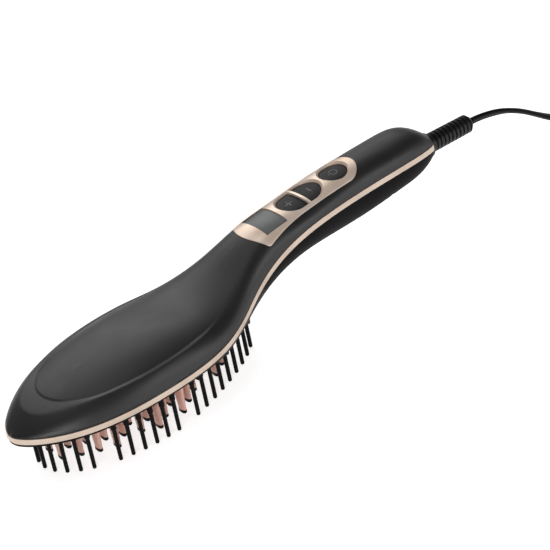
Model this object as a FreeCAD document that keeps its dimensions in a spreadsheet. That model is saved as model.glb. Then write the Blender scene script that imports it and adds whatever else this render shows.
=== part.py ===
"""Heated hair straightener brush: an oval brushing head on a handle, with a swivel cord.

The part stands on the tips of its bristles. +X runs from the nose of the head to the cord,
+Z is up, and the origin is under the middle of the brush (cord and plug left out).
Everything is in millimetres and degrees.
"""
import FreeCAD, Part, Sketcher

import math
import os

from FreeCAD import Placement, Rotation, Vector

OUT = "parts"
ALONG = Vector(1, 0, 0)
ACROSS = Vector(0, 1, 0)
UP = Vector(0, 0, 1)

# ------------------------------------------------------------------ driving dimensions
# The body is drawn through these stations. Each row is a station's name, its distance from
# the nose, the half width, and the heights of the parting line, the crown and the underside.
# Under the head the underside is only a guide: the bristle frame cuts it flat.
STATION_COLUMNS = ("along", "half", "parting", "crown", "belly")
STATIONS = (
    ("nose", 0.0, 1.5, 27.6, 28.6, 24.2),
    ("nose_round", 10.0, 16.3, 27.5, 33.0, 16.0),
    ("brow", 25.0, 26.0, 27.4, 37.8, 13.5),
    ("shoulder", 45.0, 32.3, 27.3, 41.2, 12.5),
    ("head_middle", 72.0, 34.9, 27.2, 43.7, 12.0),
    ("head_rear", 95.0, 34.6, 27.5, 43.1, 13.0),
    ("nape", 113.0, 32.1, 29.0, 42.3, 15.0),
    ("neck_front", 130.0, 26.3, 32.3, 45.4, 18.0),
    ("neck_middle", 145.0, 20.3, 37.4, 51.4, 21.3),
    ("neck_rear", 160.0, 16.9, 43.2, 56.9, 26.0),
    ("grip_front", 180.0, 15.8, 48.9, 58.9, 30.6),
    ("grip_keys", 204.0, 15.4, 51.4, 60.6, 31.0),
    ("grip_middle", 230.0, 14.4, 51.2, 62.0, 30.1),
    ("grip_rear", 255.0, 14.6, 51.0, 61.4, 31.6),
    ("tail_shoulder", 268.0, 13.5, 50.2, 60.5, 32.7),
    ("tail_round", 277.5, 10.8, 48.8, 55.8, 35.5),
    ("tail_tip", 282.8, 7.9, 47.4, 50.8, 38.2),
    ("tail", 285.0, 6.2, 46.6, 48.9, 39.6),
)

DIMENSIONS = (
    # body
    ("wall", 2.2, "wall of both shells"),
    ("upper_fullness", 0.70, "how square the sections are above the parting line"),
    ("lower_fullness", 0.61, "how square the sections are below it"),
    ("band_height", 3.0, "visible height of the trim band"),
    ("band_proud", 0.25, "how far band and panel stand out of the shells"),
    ("reveal_height", 0.35, "open groove above and below the trim band"),
    ("reveal_depth", 0.8, "depth of that groove"),
    ("floor_height", 22.9, "underside of the bristle frame above the bristle tips"),
    ("floor_thickness", 2.2, "bristle frame"),
    ("frame_end", 151.6, "where the bristle frame meets the bottom shell"),
    ("joint_gap", 0.1, "gap between parts that meet edge to edge"),
    # tail and swivel
    ("swivel_height", 43.3, "swivel axis at the tail"),
    ("swivel_pitch", 4.0, "how far the swivel axis dips, degrees"),
    ("tail_cut", 4.3, "end of the housing ahead of the tail's last station"),
    ("tail_slant", 1.6, "how much shorter the housing is below the collar than above it"),
    ("collar_radius", 6.9, "swivel collar, outside"),
    ("collar_length", 13.0, "swivel collar"),
    ("collar_back", 1.5, "collar's rear face in front of the tail"),
    ("journal_radius", 4.0, "rotating sleeve inside the collar"),
    ("running_gap", 0.08, "radial clearance of the sleeve in the collar"),
    ("relief_radius", 5.25, "strain relief, outside of its ribs"),
    ("relief_length", 27.5, "strain relief, ribbed length"),
    ("relief_nose", 2.2, "strain relief, tapered end"),
    ("relief_end_wall", 1.0, "rubber round the cord at the relief's end"),
    ("relief_groove", 0.8, "depth of the grooves between the ribs"),
    ("relief_ribs", 10.0, "number of ribs"),
    ("slip_ring_radius", 3.9, "slip rings, outside"),
    ("slip_ring_width", 2.4, "one slip ring"),
    ("spindle_radius", 2.8, "spindle that carries the slip rings"),
    ("spindle_length", 11.0, "spindle ahead of the retaining flange"),
    ("ring_first", 1.8, "front slip ring behind the spindle's end"),
    ("ring_second", 6.4, "rear slip ring behind the spindle's end"),
    ("contact_gap", 0.15, "gap between a contact spring and its ring"),
    ("contact_top", 6.3, "top of the contact block below the swivel axis"),
    ("contact_bottom", 7.9, "foot of the contact block below the swivel axis"),
    ("contact_half", 3.6, "contact block's half width"),
    ("bulkhead_depth", 4.5, "front face of the tail's bulkheads behind the collar's front"),
    ("bulkhead_thickness", 3.0, "bulkheads that hold the collar"),
    ("retainer_radius", 5.4, "flange that keeps the sleeve in the collar"),
    ("retainer_width", 1.6, "that flange"),
    # control panel
    ("panel_tilt", 3.8, "slope of the control panel, degrees"),
    ("panel_pivot", 195.7, "rib between the two temperature keys, from the nose"),
    ("panel_thickness", 1.2, "control panel"),
    ("panel_front", 39.3, "panel's front edge ahead of the rib"),
    ("panel_front_half", 14.3, "panel's half width at the display"),
    ("panel_front_bow", 5.6, "how far the front edge bows forwards"),
    ("panel_waist", 5.0, "where the panel's taper ends, ahead of the rib"),
    ("panel_half", 11.6, "panel's half width beside the keys"),
    ("panel_rear", 37.0, "panel's round rear end behind the rib"),
    ("panel_corner", 2.6, "panel's front corners"),
    ("panel_clearance", 0.12, "gap round the panel in the top shell"),
    ("display_front", 31.0, "display's front edge ahead of the rib"),
    ("display_rear", 16.8, "display's rear edge ahead of the rib"),
    ("display_half", 10.2, "display's half width"),
    ("display_recess", 0.4, "display below the panel's face"),
    ("display_depth", 3.6, "flat underside of the display window below the panel plane"),
    ("display_gap", 0.12, "gap round the display window, and under it"),
    ("lcd_margin", 0.8, "display module inside its window's edges"),
    ("key_hole_half", 8.6, "half width of the oval for the temperature keys"),
    ("key_hole_reach", 13.2, "oval's end from the rib"),
    ("key_rib", 1.4, "rib between the two temperature keys"),
    ("key_rim", 1.0, "chamfer round the keys' openings"),
    ("power_offset", 24.2, "power key behind the rib"),
    ("power_radius", 7.7, "hole for the power key"),
    ("key_gap", 0.25, "gap round each key"),
    ("key_recess", 1.15, "keys below the panel's face"),
    ("key_travel", 0.5, "travel of each key"),
    ("key_flange", 0.9, "flange round the foot of each key"),
    ("key_flange_depth", 4.2, "top of that flange below the panel plane"),
    ("key_flange_thickness", 0.8, "that flange"),
    ("key_stem_radius", 1.8, "stem that presses the switch"),
    ("key_stem_end", 6.2, "foot of the stem below the panel plane"),
    ("switch_gap", 0.6, "gap between stem and switch at rest"),
    ("switch_side", 6.0, "tact switch"),
    ("switch_height", 2.5, "tact switch"),
    # boards
    ("board_thickness", 1.6, "both circuit boards"),
    ("control_board_front", 36.0, "control board's front edge ahead of the rib"),
    ("control_board_rear", 34.0, "control board's rear edge behind the rib"),
    ("control_board_half", 10.6, "control board's half width"),
    ("power_board_front", 172.0, "power board's front edge from the nose"),
    ("power_board_length", 62.0, "power board"),
    ("power_board_half", 7.8, "power board's half width"),
    ("power_board_height", 37.6, "power board's underside above the bristle tips"),
    ("capacitor_radius", 4.2, "mains capacitor"),
    ("capacitor_length", 12.0, "mains capacitor"),
    ("capacitor_gap", 4.0, "capacitor ahead of the terminal block"),
    ("triac_height", 7.0, "triac"),
    ("triac_thickness", 4.5, "triac"),
    ("triac_width", 10.0, "triac"),
    ("triac_gap", 13.5, "triac ahead of the capacitor"),
    ("terminal_inset", 5.0, "terminal block inside the power board's rear edge"),
    ("terminal_height", 7.0, "terminal block"),
    ("terminal_length", 8.0, "terminal block"),
    ("terminal_width", 10.0, "terminal block"),
    ("pillar_radius", 2.2, "pillars that carry the circuit boards"),
    ("small_screw_length", 6.0, "inner screws, without their heads"),
    ("small_head_height", 1.1, "heads of the inner screws"),
    ("lead_radius", 0.75, "insulated leads inside the body"),
    # head
    ("row_centre", 75.0, "widest place of the bristle row, from the nose"),
    ("row_front", 61.0, "bristle row ahead of its widest place"),
    ("row_rear", 72.0, "bristle row behind its widest place"),
    ("row_half", 32.3, "bristle row's half width"),
    ("row_front_run", 0.535, "share of the row's front half that stays wide"),
    ("row_front_round", 0.58, "roundness of its front end"),
    ("row_rear_run", 0.22, "share of the row's rear half that stays wide"),
    ("row_rear_round", 0.45, "roundness of its rear end"),
    ("bristle_pitch", 6.75, "distance between outer bristles, from the nose to the rear gap"),
    ("bristle_rear_pitch", 7.4, "distance between them behind the rear gap"),
    ("bristle_root_radius", 1.3, "outer bristle at its root"),
    ("bristle_radius", 0.9, "outer bristle at its tip"),
    ("bristle_root_length", 5.0, "thicker root of a bristle"),
    ("bristle_stem", 1.2, "bristle's stem inside the frame"),
    ("bristle_gap_front", 5.0, "front pair of places left without a bristle, counted from the nose"),
    ("bristle_gap_rear", 12.0, "rear pair of places left without a bristle"),
    ("heel_along", 149.2, "heel peg behind the row, from the nose"),
    ("heel_width", 4.4, "heel peg at its root, across the brush"),
    ("heel_depth", 3.6, "heel peg at its root, along the brush"),
    ("heel_tip_height", 7.6, "lower end of the heel peg above the bristle tips"),
    ("window_inset", 4.0, "edge of the frame's window inside the bristle row"),
    ("plate_gap", 0.3, "gap between heating plate and window"),
    ("plate_flange", 2.2, "flange of the plate under the frame"),
    ("plate_flange_thickness", 1.0, "that flange, let into the frame"),
    ("plate_rise", 2.0, "plate's upper face above the frame"),
    ("tooth_pitch", 7.6, "distance between columns of teeth"),
    ("tooth_spacing", 10.4, "distance between teeth of a column"),
    ("tooth_inset", 4.8, "outermost teeth inside the bristle row"),
    ("tooth_width", 7.4, "tooth across the brush, at its root"),
    ("tooth_thickness", 3.2, "tooth along the brush, at its root"),
    ("tooth_taper", 0.66, "tooth's tip as a share of its root"),
    ("tooth_tip_height", 5.2, "lower end of the metal tooth above the bristle tips"),
    ("cap_height", 1.9, "insulating cap under each tooth"),
    ("cap_lip", 0.15, "how far a cap stands out round its tooth"),
    ("heater_length", 60.0, "ceramic heater"),
    ("heater_width", 18.0, "ceramic heater"),
    ("heater_thickness", 1.6, "ceramic heater"),
    ("mica_margin", 1.5, "mica sheet beyond the heater"),
    ("mica_thickness", 0.3, "mica sheet"),
    ("clamp_thickness", 1.0, "heater clamp"),
    ("clamp_width", 12.0, "heater clamp"),
    ("post_radius", 3.0, "posts of the heating plate that carry the clamp"),
    ("boss_radius", 3.2, "screw bosses of the top shell"),
    ("plate_screw_across", 18.4, "side pair of plate screws, from the middle line"),
    ("plate_screw_columns", 6.5, "front and rear plate screws from the widest place, in tooth pitches"),
    ("plate_screw_length", 10.0, "plate screws, without their heads"),
    ("neck_column_gap", 0.2, "front screw column behind the bottom shell's front edge"),
    ("shell_screw_tail", 249.0, "rear pair of shell screws from the nose"),
    ("shell_screw_across", 8.4, "rear pair of shell screws from the middle line"),
    ("shell_screw_length", 11.0, "shell screws, without their heads"),
    ("column_radius", 3.5, "screw columns of the bottom shell"),
    ("screw_radius", 1.2, "threads of the housing screws"),
    ("screw_head_radius", 2.1, "heads of the housing screws"),
    ("screw_head_height", 1.3, "those heads"),
    ("small_screw_radius", 0.95, "threads of the inner screws"),
    ("small_head_radius", 1.8, "heads of the inner screws"),
    ("fuse_radius", 2.0, "thermal fuse"),
    ("fuse_length", 11.0, "thermal fuse"),
    ("thermistor_radius", 1.4, "thermistor"),
    ("thermistor_length", 6.0, "thermistor"),
    ("sensor_across", 14.0, "fuse and thermistor from the middle line"),
    ("sensor_inset", 9.0, "middle of fuse and thermistor inside the heater's ends"),
    # cord and plug
    ("cord_radius", 2.2, "mains cord"),
    ("cord_exit_gap", 0.1, "gap between the swivel's end and the cord's fixed length"),
    ("coil_middle_radius", 25.0, "cord coil, middle of its turns"),
    ("coil_width", 17.6, "cord coil, four turns beside each other"),
    ("coil_height", 12.0, "cord coil, three layers"),
    ("coil_along", 426.0, "coil's centre from the nose"),
    ("coil_across", -26.4, "coil's centre from the middle line"),
    ("tie_width", 9.0, "cord tie"),
    ("tie_thickness", 1.0, "cord tie"),
    ("plug_pin_radius", 2.0, "plug pins"),
    ("plug_pin_length", 19.0, "plug pins, clear of the plug"),
    ("plug_shank_radius", 1.5, "plug pins inside the plug"),
    ("plug_pin_seat", 6.0, "plug pins, depth inside the plug"),
    ("plug_pin_spacing", 18.6, "plug pins, centre to centre"),
    ("plug_length", 33.0, "plug body"),
    ("plug_width", 26.0, "plug body across both pins"),
    ("plug_thickness", 13.7, "plug body"),
    ("plug_neck_length", 14.0, "plug's own strain relief"),
    ("plug_neck_radius", 4.0, "plug's own strain relief"),
)

doc = FreeCAD.newDocument("HairBrush")
sheet = doc.addObject("Spreadsheet::Sheet", "Dimensions")


def fill_sheet():
    """Write the driving dimensions into the sheet: note, value with its alias."""
    row = 1
    for name, *values in STATIONS:
        for column, value in zip(STATION_COLUMNS, values):
            sheet.set(f"A{row}", f"station {name}: {column}")
            sheet.set(f"B{row}", str(value))
            sheet.setAlias(f"B{row}", f"{name}_{column}")
            row += 1
    for alias, value, note in DIMENSIONS:
        sheet.set(f"A{row}", note)
        sheet.set(f"B{row}", str(value))
        sheet.setAlias(f"B{row}", alias)
        row += 1
    doc.recompute()


fill_sheet()


def size(alias):
    """A driving dimension, read back from the sheet."""
    return float(sheet.get(alias))


def cell(formula):
    """An expression for setExpression: words that are aliases are looked up in the sheet."""
    words = []
    for word in formula.split():
        known = word.replace("_", "a").isalnum() and not word[0].isdigit()
        words.append(f"Dimensions.{word}" if known else word)
    return " ".join(words)


# ------------------------------------------------------------------ the body's lines
BODY_LENGTH = size("tail_along")
SWIVEL_REACH = size("relief_length") + size("relief_nose")
PITCH = math.radians(size("swivel_pitch"))
RELIEF_END = size("cord_radius") + size("relief_end_wall")
REAR_END = BODY_LENGTH + SWIVEL_REACH * math.cos(PITCH) + RELIEF_END * math.sin(PITCH)
NOSE = (size("band_proud") - REAR_END) / 2


def at(along, across, height):
    """A point given from the nose, the middle line and the bristle tips."""
    return Vector(NOSE + along, across, height)


def bend(along):
    """Distance from the nose as an angle, which spreads out both rounded ends."""
    share = min(max(along / BODY_LENGTH, 0.0), 1.0)
    return math.acos(1 - 2 * share)


def body_line(column):
    """A smooth curve through the stations' values, drawn over the angle of bend()."""
    points = []
    for name, *_ in STATIONS:
        points.append(Vector(bend(size(f"{name}_along")), size(f"{name}_{column}"), 0))
    curve = Part.BSplineCurve()
    curve.interpolate(Points=points, Parameters=[point.x for point in points])
    return curve


LINES = {column: body_line(column) for column in STATION_COLUMNS[1:]}


def line_at(name, along):
    """Half width, parting line, crown or belly at a distance from the nose."""
    return LINES[name].value(bend(along)).y


# ------------------------------------------------------------------ lofted bodies
SECTION_COUNT = 44


def section_places():
    """Distances from the nose of the loft's sections, close together at both ends."""
    turns = [math.pi * step / SECTION_COUNT for step in range(SECTION_COUNT + 1)]
    return [BODY_LENGTH * (1 - math.cos(turn)) / 2 for turn in turns]


def quarter(along, half, waist, height, side, rise, fullness):
    """One quarter of a section: from its widest place at one side to the middle line."""
    reach = height - waist
    poles = (
        at(along, side * half, waist),
        at(along, side * half, waist + reach * fullness),
        at(along, side * half * fullness, height),
        at(along, 0, height),
    )
    curve = Part.BezierCurve()
    curve.setPoles(list(poles) if rise else list(reversed(poles)))
    return curve.toShape()


def section(along, inset):
    """The body's closed section, inset from its surface (or proud of it, where negative)."""
    source = along - inset * (1 - 2 * along / BODY_LENGTH)
    half = line_at("half", source) - inset
    waist = line_at("parting", along) - size("band_height") / 2
    crown = line_at("crown", source) - inset
    belly = line_at("belly", source) + inset
    upper, lower = size("upper_fullness"), size("lower_fullness")
    return Part.Wire([
        quarter(along, half, waist, crown, -1, True, upper),
        quarter(along, half, waist, crown, 1, False, upper),
        quarter(along, half, waist, belly, 1, True, lower),
        quarter(along, half, waist, belly, -1, False, lower),
    ])


def body_solid(inset):
    """The whole body as a solid, its surface moved inwards by inset."""
    squeeze = (BODY_LENGTH - 2 * inset) / BODY_LENGTH
    places = [inset + place * squeeze for place in section_places()]
    if inset > size("nose_half") / 2:
        places = places[3:]
    return Part.makeLoft([section(place, inset) for place in places], True, False)


def parting_edge(offset, margin=20.0):
    """The parting line as one edge in the middle plane, moved up by offset."""
    points = [at(place, 0, line_at("parting", place) + offset) for place in section_places()]
    curve = Part.BSplineCurve()
    curve.interpolate(points)
    ends = (points[0] - ALONG * margin, points[-1] + ALONG * margin)
    return [Part.makeLine(ends[0], points[0]), curve.toShape(), Part.makeLine(points[-1], ends[1])]


def beyond(offset, upwards):
    """Everything above (or below) the parting line moved up by offset."""
    spread, far = 80.0, 120.0 if upwards else -60.0
    edges = parting_edge(offset)
    first, last = edges[0].firstVertex().Point, edges[-1].lastVertex().Point
    corners = [first, Vector(first.x, 0, far), Vector(last.x, 0, far), last]
    edges += [Part.makeLine(a, b) for a, b in zip(corners, corners[1:])]
    face = Part.Face(Part.Wire(Part.__sortEdges__(edges)))
    return face.translated(ACROSS * -spread).extrude(ACROSS * 2 * spread)


def slab(low, high, front=-30.0, rear=400.0):
    """A level block between two heights, from one distance from the nose to another."""
    return Part.makeBox(rear - front, 160, high - low, at(front, -80, low))


# ------------------------------------------------------------------ nodes of the document
NODES = []


def keep(name, shape, placement=None):
    """A free-form sub-part: its shape is set here, then its placement."""
    feature = doc.addObject("Part::Feature", name)
    feature.Shape = shape
    feature.Label = name
    if placement:
        feature.Placement = placement
    NODES.append(feature)
    return feature


def primitive(kind, name, placement, **formulas):
    """A Part primitive with its sizes bound to the sheet."""
    item = doc.addObject(f"Part::{kind}", name)
    for prop, formula in formulas.items():
        item.setExpression(prop, cell(formula))
    item.Placement = placement
    return item


def node(name, item):
    """Make an object of the document a sub-part of its own."""
    item.Label = name
    NODES.append(item)
    return item


def combine(kind, name, *items):
    """Part::Cut of two objects, or Part::MultiFuse or Part::Compound of several."""
    result = doc.addObject(f"Part::{kind}", name)
    if kind == "Cut":
        result.Base, result.Tool = items
    elif kind == "MultiFuse":
        result.Shapes = list(items)
    else:
        result.Links = list(items)
    return result


def level(along, across, height):
    return Placement(at(along, across, height), Rotation())


# ------------------------------------------------------------------ the panel's plane
PIVOT = at(size("panel_pivot"), 0, line_at("crown", size("panel_pivot")))
PANEL = Placement(PIVOT, Rotation(ACROSS, -size("panel_tilt")))
BOARD_TOP = -(size("key_stem_end") + size("switch_gap") + size("switch_height"))


def on_panel(along, across, depth):
    """A placement in the panel's own axes: along the handle from the rib, across, and up."""
    return PANEL * Placement(Vector(along, across, depth), Rotation())


def prism(wire, low, high):
    """A flat outline drawn in the panel's axes, pulled along the panel's normal."""
    solid = Part.Face(wire).translated(UP * low).extrude(UP * (high - low))
    return solid.transformed(PANEL.toMatrix())


def panel_outline(grow=0.0):
    """Bowed front edge, tapering sides, and a round rear end about the power key."""
    front, bow = -size("panel_front") - grow, size("panel_front_bow")
    half_front, half = size("panel_front_half") + grow, size("panel_half") + grow
    waist, centre = -size("panel_waist"), size("panel_rear") - size("panel_half")
    corner = Vector(front + bow, half_front, 0)
    nose = Part.Arc(Vector(corner.x, -corner.y, 0), Vector(front, 0, 0), corner).toShape()
    side = Part.BezierCurve()
    third = (waist - corner.x) / 3
    side.setPoles([
        corner, Vector(corner.x + third, half_front - (half_front - half) * 0.55, 0),
        Vector(waist - third, half, 0), Vector(waist, half, 0),
    ])
    flank = Part.makeLine(Vector(waist, half, 0), Vector(centre, half, 0))
    end = Part.Arc(
        Vector(centre, half, 0), Vector(centre + half, 0, 0), Vector(centre, -half, 0)
    ).toShape()
    sides = [side.toShape(), flank]
    sides += [edge.mirror(Vector(), ACROSS) for edge in sides]
    return Part.Wire(Part.__sortEdges__([nose, end] + sides))


def panel_prism(grow=0.0, low=-12.0, high=8.0):
    """The panel's outline as a tall solid with its two front corners rounded."""
    solid = prism(panel_outline(grow), low, high)
    corner_along = -size("panel_front") - grow + size("panel_front_bow")
    edges = []
    for edge in solid.Edges:
        middle = PANEL.inverse().multVec(edge.CenterOfMass)
        upright = edge.Length > (high - low) * 0.99 and abs(middle.z - (low + high) / 2) < 0.1
        if upright and abs(middle.x - corner_along) < 0.01:
            edges.append(edge)
    return solid.makeFillet(size("panel_corner"), edges)


def stadium(grow):
    """The oval hole of the two temperature keys, or a key's outline where grow is negative."""
    half = size("key_hole_half") + grow
    centre = size("key_hole_reach") + grow - half
    return Part.Wire([
        Part.makeLine(Vector(-centre, -half, 0), Vector(centre, -half, 0)),
        Part.Arc(Vector(centre, -half, 0), Vector(centre + half, 0, 0), Vector(centre, half, 0)).toShape(),
        Part.makeLine(Vector(centre, half, 0), Vector(-centre, half, 0)),
        Part.Arc(Vector(-centre, half, 0), Vector(-centre - half, 0, 0), Vector(-centre, -half, 0)).toShape(),
    ])


def half_stadium(side, grow, low, high):
    """The oval's half on one side of the rib: -1 towards the display, 1 towards the power key."""
    whole = prism(stadium(grow), low, high)
    edge = size("key_rib") / 2 - grow
    block = Part.makeBox(60, 60, 60, Vector(edge if side > 0 else -edge - 60, -30, -30))
    return whole.common(block.transformed(PANEL.toMatrix()))


def power_disc(grow, low, high):
    centre = Vector(size("power_offset"), 0, low)
    return Part.makeCylinder(size("power_radius") + grow, high - low, centre).transformed(PANEL.toMatrix())


def display_block(grow, low=-12.0, high=8.0):
    front, rear, half = size("display_front"), size("display_rear"), size("display_half") + grow
    block = Part.makeBox(front - rear + 2 * grow, 2 * half, high - low, Vector(-front - grow, -half, low))
    return block.transformed(PANEL.toMatrix())


# ------------------------------------------------------------------ the swivel's axis
SWIVEL = Placement(at(BODY_LENGTH, 0, size("swivel_height")), Rotation(ACROSS, 90 + size("swivel_pitch")))


def along_swivel(radius, start, end):
    """A cylinder about the swivel axis, between two distances behind the tail."""
    return Part.makeCylinder(radius, end - start, Vector(0, 0, start)).transformed(SWIVEL.toMatrix())


def turned(profile):
    """A solid turned about the swivel axis from (distance behind the tail, radius) points."""
    points = [Vector(radius, 0, start) for start, radius in profile]
    face = Part.Face(Part.makePolygon(points + points[:1]))
    return face.revolve(Vector(), UP, 360).transformed(SWIVEL.toMatrix())


COLLAR_REAR = -size("collar_back")
COLLAR_FRONT = COLLAR_REAR - size("collar_length")
RETAINER_FRONT = COLLAR_FRONT - size("retainer_width") - size("running_gap")
SPINDLE_FRONT = RETAINER_FRONT - size("spindle_length")
RELIEF_HOLE = size("relief_radius") + 0.25


def tail_cutter():
    """What lies behind the slanted end of the housing."""
    slant = math.degrees(math.atan2(size("tail_slant"), 2 * size("collar_radius")))
    block = Part.makeBox(40, 60, 80, Vector(0, -30, -40))
    top = at(BODY_LENGTH - size("tail_cut"), 0, size("tail_crown"))
    return block.transformed(Placement(top, Rotation(ACROSS, slant)).toMatrix())


def tail_openings():
    """Bores of both shells and the band for the collar and the strain relief."""
    collar = along_swivel(size("collar_radius"), COLLAR_FRONT, COLLAR_REAR)
    relief = along_swivel(RELIEF_HOLE, COLLAR_REAR, 12)
    clear = along_swivel(size("retainer_radius") + 1.0, SPINDLE_FRONT - 1, COLLAR_FRONT)
    return [collar, relief, clear, tail_cutter()]


# ------------------------------------------------------------------ shells, band and panel
WALL = size("wall")
OUTER = body_solid(0)
HOLLOW = body_solid(WALL)
PROUD = body_solid(-size("band_proud"))
PANEL_BED = body_solid(size("panel_thickness"))
BAND_LOW = -size("band_height")
ABOVE_BAND = beyond(0, True)
BELOW_BAND = beyond(BAND_LOW, False)
REVEAL_RING = PROUD.cut(body_solid(size("reveal_depth")))
REVEAL_ABOVE = REVEAL_RING.cut(beyond(size("reveal_height"), True))
REVEAL_BELOW = REVEAL_RING.cut(beyond(BAND_LOW - size("reveal_height"), False))
FRAME_END = size("frame_end")
FLOOR = size("floor_height")
FRAME_TOP = FLOOR + size("floor_thickness")
PLATE_TOP = FRAME_TOP + size("plate_rise")
MIDDLE = size("row_centre")


def plate_screw_places():
    """Screws through the heating plate into the top shell, in the channels between teeth."""
    reach = size("plate_screw_columns") * size("tooth_pitch")
    side = MIDDLE + size("tooth_pitch") / 2
    return [
        (MIDDLE - reach, 0), (MIDDLE + reach, 0),
        (side, size("plate_screw_across")), (side, -size("plate_screw_across")),
    ]


def shell_screw_places():
    across = size("shell_screw_across")
    tail = size("shell_screw_tail")
    neck = FRAME_END + size("joint_gap") + size("neck_column_gap") + size("column_radius")
    return [(neck, 0), (tail, across), (tail, -across)]


def column_meeting(along):
    """Height at which the columns of the two shells meet."""
    return line_at("parting", along) + BAND_LOW / 2


def shell_screw_seat(along):
    """Height of the face on which a shell screw's head bears."""
    return column_meeting(along) - size("shell_screw_length") * 0.45


def board_pillars():
    """Places of the control board's screws, in the panel's axes."""
    front = size("pillar_radius") - size("control_board_front")
    rear = size("control_board_rear") - size("pillar_radius")
    across = size("control_board_half") - size("pillar_radius")
    return [(front, across), (front, -across), (rear, across), (rear, -across)]


def power_pillars():
    """Places of the power board's screws, from the nose."""
    front = size("power_board_front") + size("pillar_radius")
    rear = size("power_board_front") + size("power_board_length") - size("pillar_radius")
    across = size("power_board_half") - size("pillar_radius")
    return [(front, across), (front, -across), (rear, across), (rear, -across)]


def post(along, across, low, high, radius):
    return Part.makeCylinder(radius, high - low, at(along, across, low))


def panel_openings(low=-12.0, high=8.0):
    """Openings for the keys and the display, through the panel and the shell under it."""
    return [
        half_stadium(-1, 0, low, high), half_stadium(1, 0, low, high),
        power_disc(0, low, high), display_block(size("display_gap"), low, high),
    ]


def bulkhead():
    """A wall across the tail that holds the swivel collar."""
    start = COLLAR_FRONT + size("bulkhead_depth")
    wall = Part.makeBox(80, 60, size("bulkhead_thickness"), Vector(-40, -30, start))
    return wall.transformed(SWIVEL.toMatrix())


def top_shell():
    """Upper half of the body, with the bed of the panel and its screw bosses."""
    anchored = body_solid(WALL / 2)
    bosses = [post(x, y, PLATE_TOP, 80, size("boss_radius")) for x, y in plate_screw_places()]
    bosses += [post(x, y, column_meeting(x), 80, size("column_radius")) for x, y in shell_screw_places()]
    for along, across in board_pillars():
        pillar = Part.makeCylinder(size("pillar_radius"), 20, Vector(along, across, BOARD_TOP))
        bosses.append(pillar.transformed(PANEL.toMatrix()))
    wall = bulkhead().common(anchored).common(ABOVE_BAND)
    wall = wall.fuse(bulkhead().common(body_solid(WALL + size("joint_gap"))).cut(BELOW_BAND))
    shell = OUTER.common(ABOVE_BAND).cut(HOLLOW).fuse([boss.common(anchored) for boss in bosses] + [wall])
    shell = shell.cut([panel_prism(size("panel_clearance")).cut(PANEL_BED), REVEAL_ABOVE])
    holes = panel_openings()
    bore = size("screw_radius")
    for x, y in plate_screw_places():
        holes.append(post(x, y, PLATE_TOP - 1, FLOOR + size("plate_screw_length"), bore))
    for x, y in shell_screw_places():
        holes.append(post(x, y, column_meeting(x) - 1, shell_screw_seat(x) + size("shell_screw_length"), bore))
    pilot = size("small_screw_length") - size("board_thickness")
    for along, across in board_pillars():
        hole = Part.makeCylinder(size("small_screw_radius"), pilot + 1, Vector(along, across, BOARD_TOP - 1))
        holes.append(hole.transformed(PANEL.toMatrix()))
    return shell.cut(holes + tail_openings())


def trim_band():
    """Metallic band between the two halves, standing a little proud of them."""
    return PROUD.cut([HOLLOW, ABOVE_BAND, BELOW_BAND]).cut(tail_openings())


def bottom_shell():
    """Lower half of the handle, with the columns of the shell screws."""
    anchored = body_solid(WALL / 2)
    front = FRAME_END + size("joint_gap")
    skin = OUTER.common(BELOW_BAND).cut(HOLLOW)
    top = size("power_board_height")
    columns = [post(x, y, 0, column_meeting(x), size("column_radius")) for x, y in shell_screw_places()]
    columns += [post(x, y, 0, top, size("pillar_radius")) for x, y in power_pillars()]
    foot = size("contact_bottom")
    pad = Part.makeBox(10, size("contact_half") * 2, size("spindle_length"),
                       Vector(foot, -size("contact_half"), SPINDLE_FRONT))
    columns.append(pad.transformed(SWIVEL.toMatrix()))
    shell = skin.fuse([column.common(anchored) for column in columns])
    shell = shell.fuse(bulkhead().common(anchored).common(BELOW_BAND))
    holes = []
    for x, y in shell_screw_places():
        holes.append(post(x, y, 0, shell_screw_seat(x), size("screw_head_radius") + size("joint_gap")))
        holes.append(post(x, y, 0, column_meeting(x) + 1, size("screw_radius")))
    pilot = size("small_screw_length") - size("board_thickness")
    for x, y in power_pillars():
        holes.append(post(x, y, top - pilot, top + 1, size("small_screw_radius")))
    return shell.cut(holes + tail_openings() + [REVEAL_BELOW]).common(slab(-20, 120, front))


# ------------------------------------------------------------------ bristle row and head
def row_quarter(rear, side):
    """A quarter of the bristle row, from its widest place to the middle line."""
    end = "rear" if rear else "front"
    reach = size(f"row_{end}") if rear else -size(f"row_{end}")
    half = side * size("row_half")
    curve = Part.BezierCurve()
    curve.setPoles([
        at(MIDDLE, half, 0), at(MIDDLE + reach * size(f"row_{end}_run"), half, 0),
        at(MIDDLE + reach, half * size(f"row_{end}_round"), 0), at(MIDDLE + reach, 0, 0),
    ])
    return curve


def row_points(inset, per_quarter=9):
    """Points round the row, moved inwards square to it, from the nose over the +Y side."""
    inner = at(MIDDLE, 0, 0)
    points = []
    for rear, side, forwards in ((0, 1, 0), (1, 1, 1), (1, -1, 0), (0, -1, 1)):
        curve = row_quarter(rear, side)
        for step in range(per_quarter):
            share = step / per_quarter if forwards else 1 - step / per_quarter
            spot = curve.value(share)
            square = UP.cross(Vector(*curve.tangent(share)[0]))
            if square.dot(inner - spot) < 0:
                square = square * -1
            points.append(spot + square * inset)
    return points


def row_wire(inset=0.0):
    curve = Part.BSplineCurve()
    curve.interpolate(Points=row_points(inset), PeriodicFlag=True)
    return Part.Wire(curve.toShape())


def row_block(inset, low, high):
    return Part.Face(row_wire(inset)).translated(UP * low).extrude(UP * (high - low))


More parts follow.
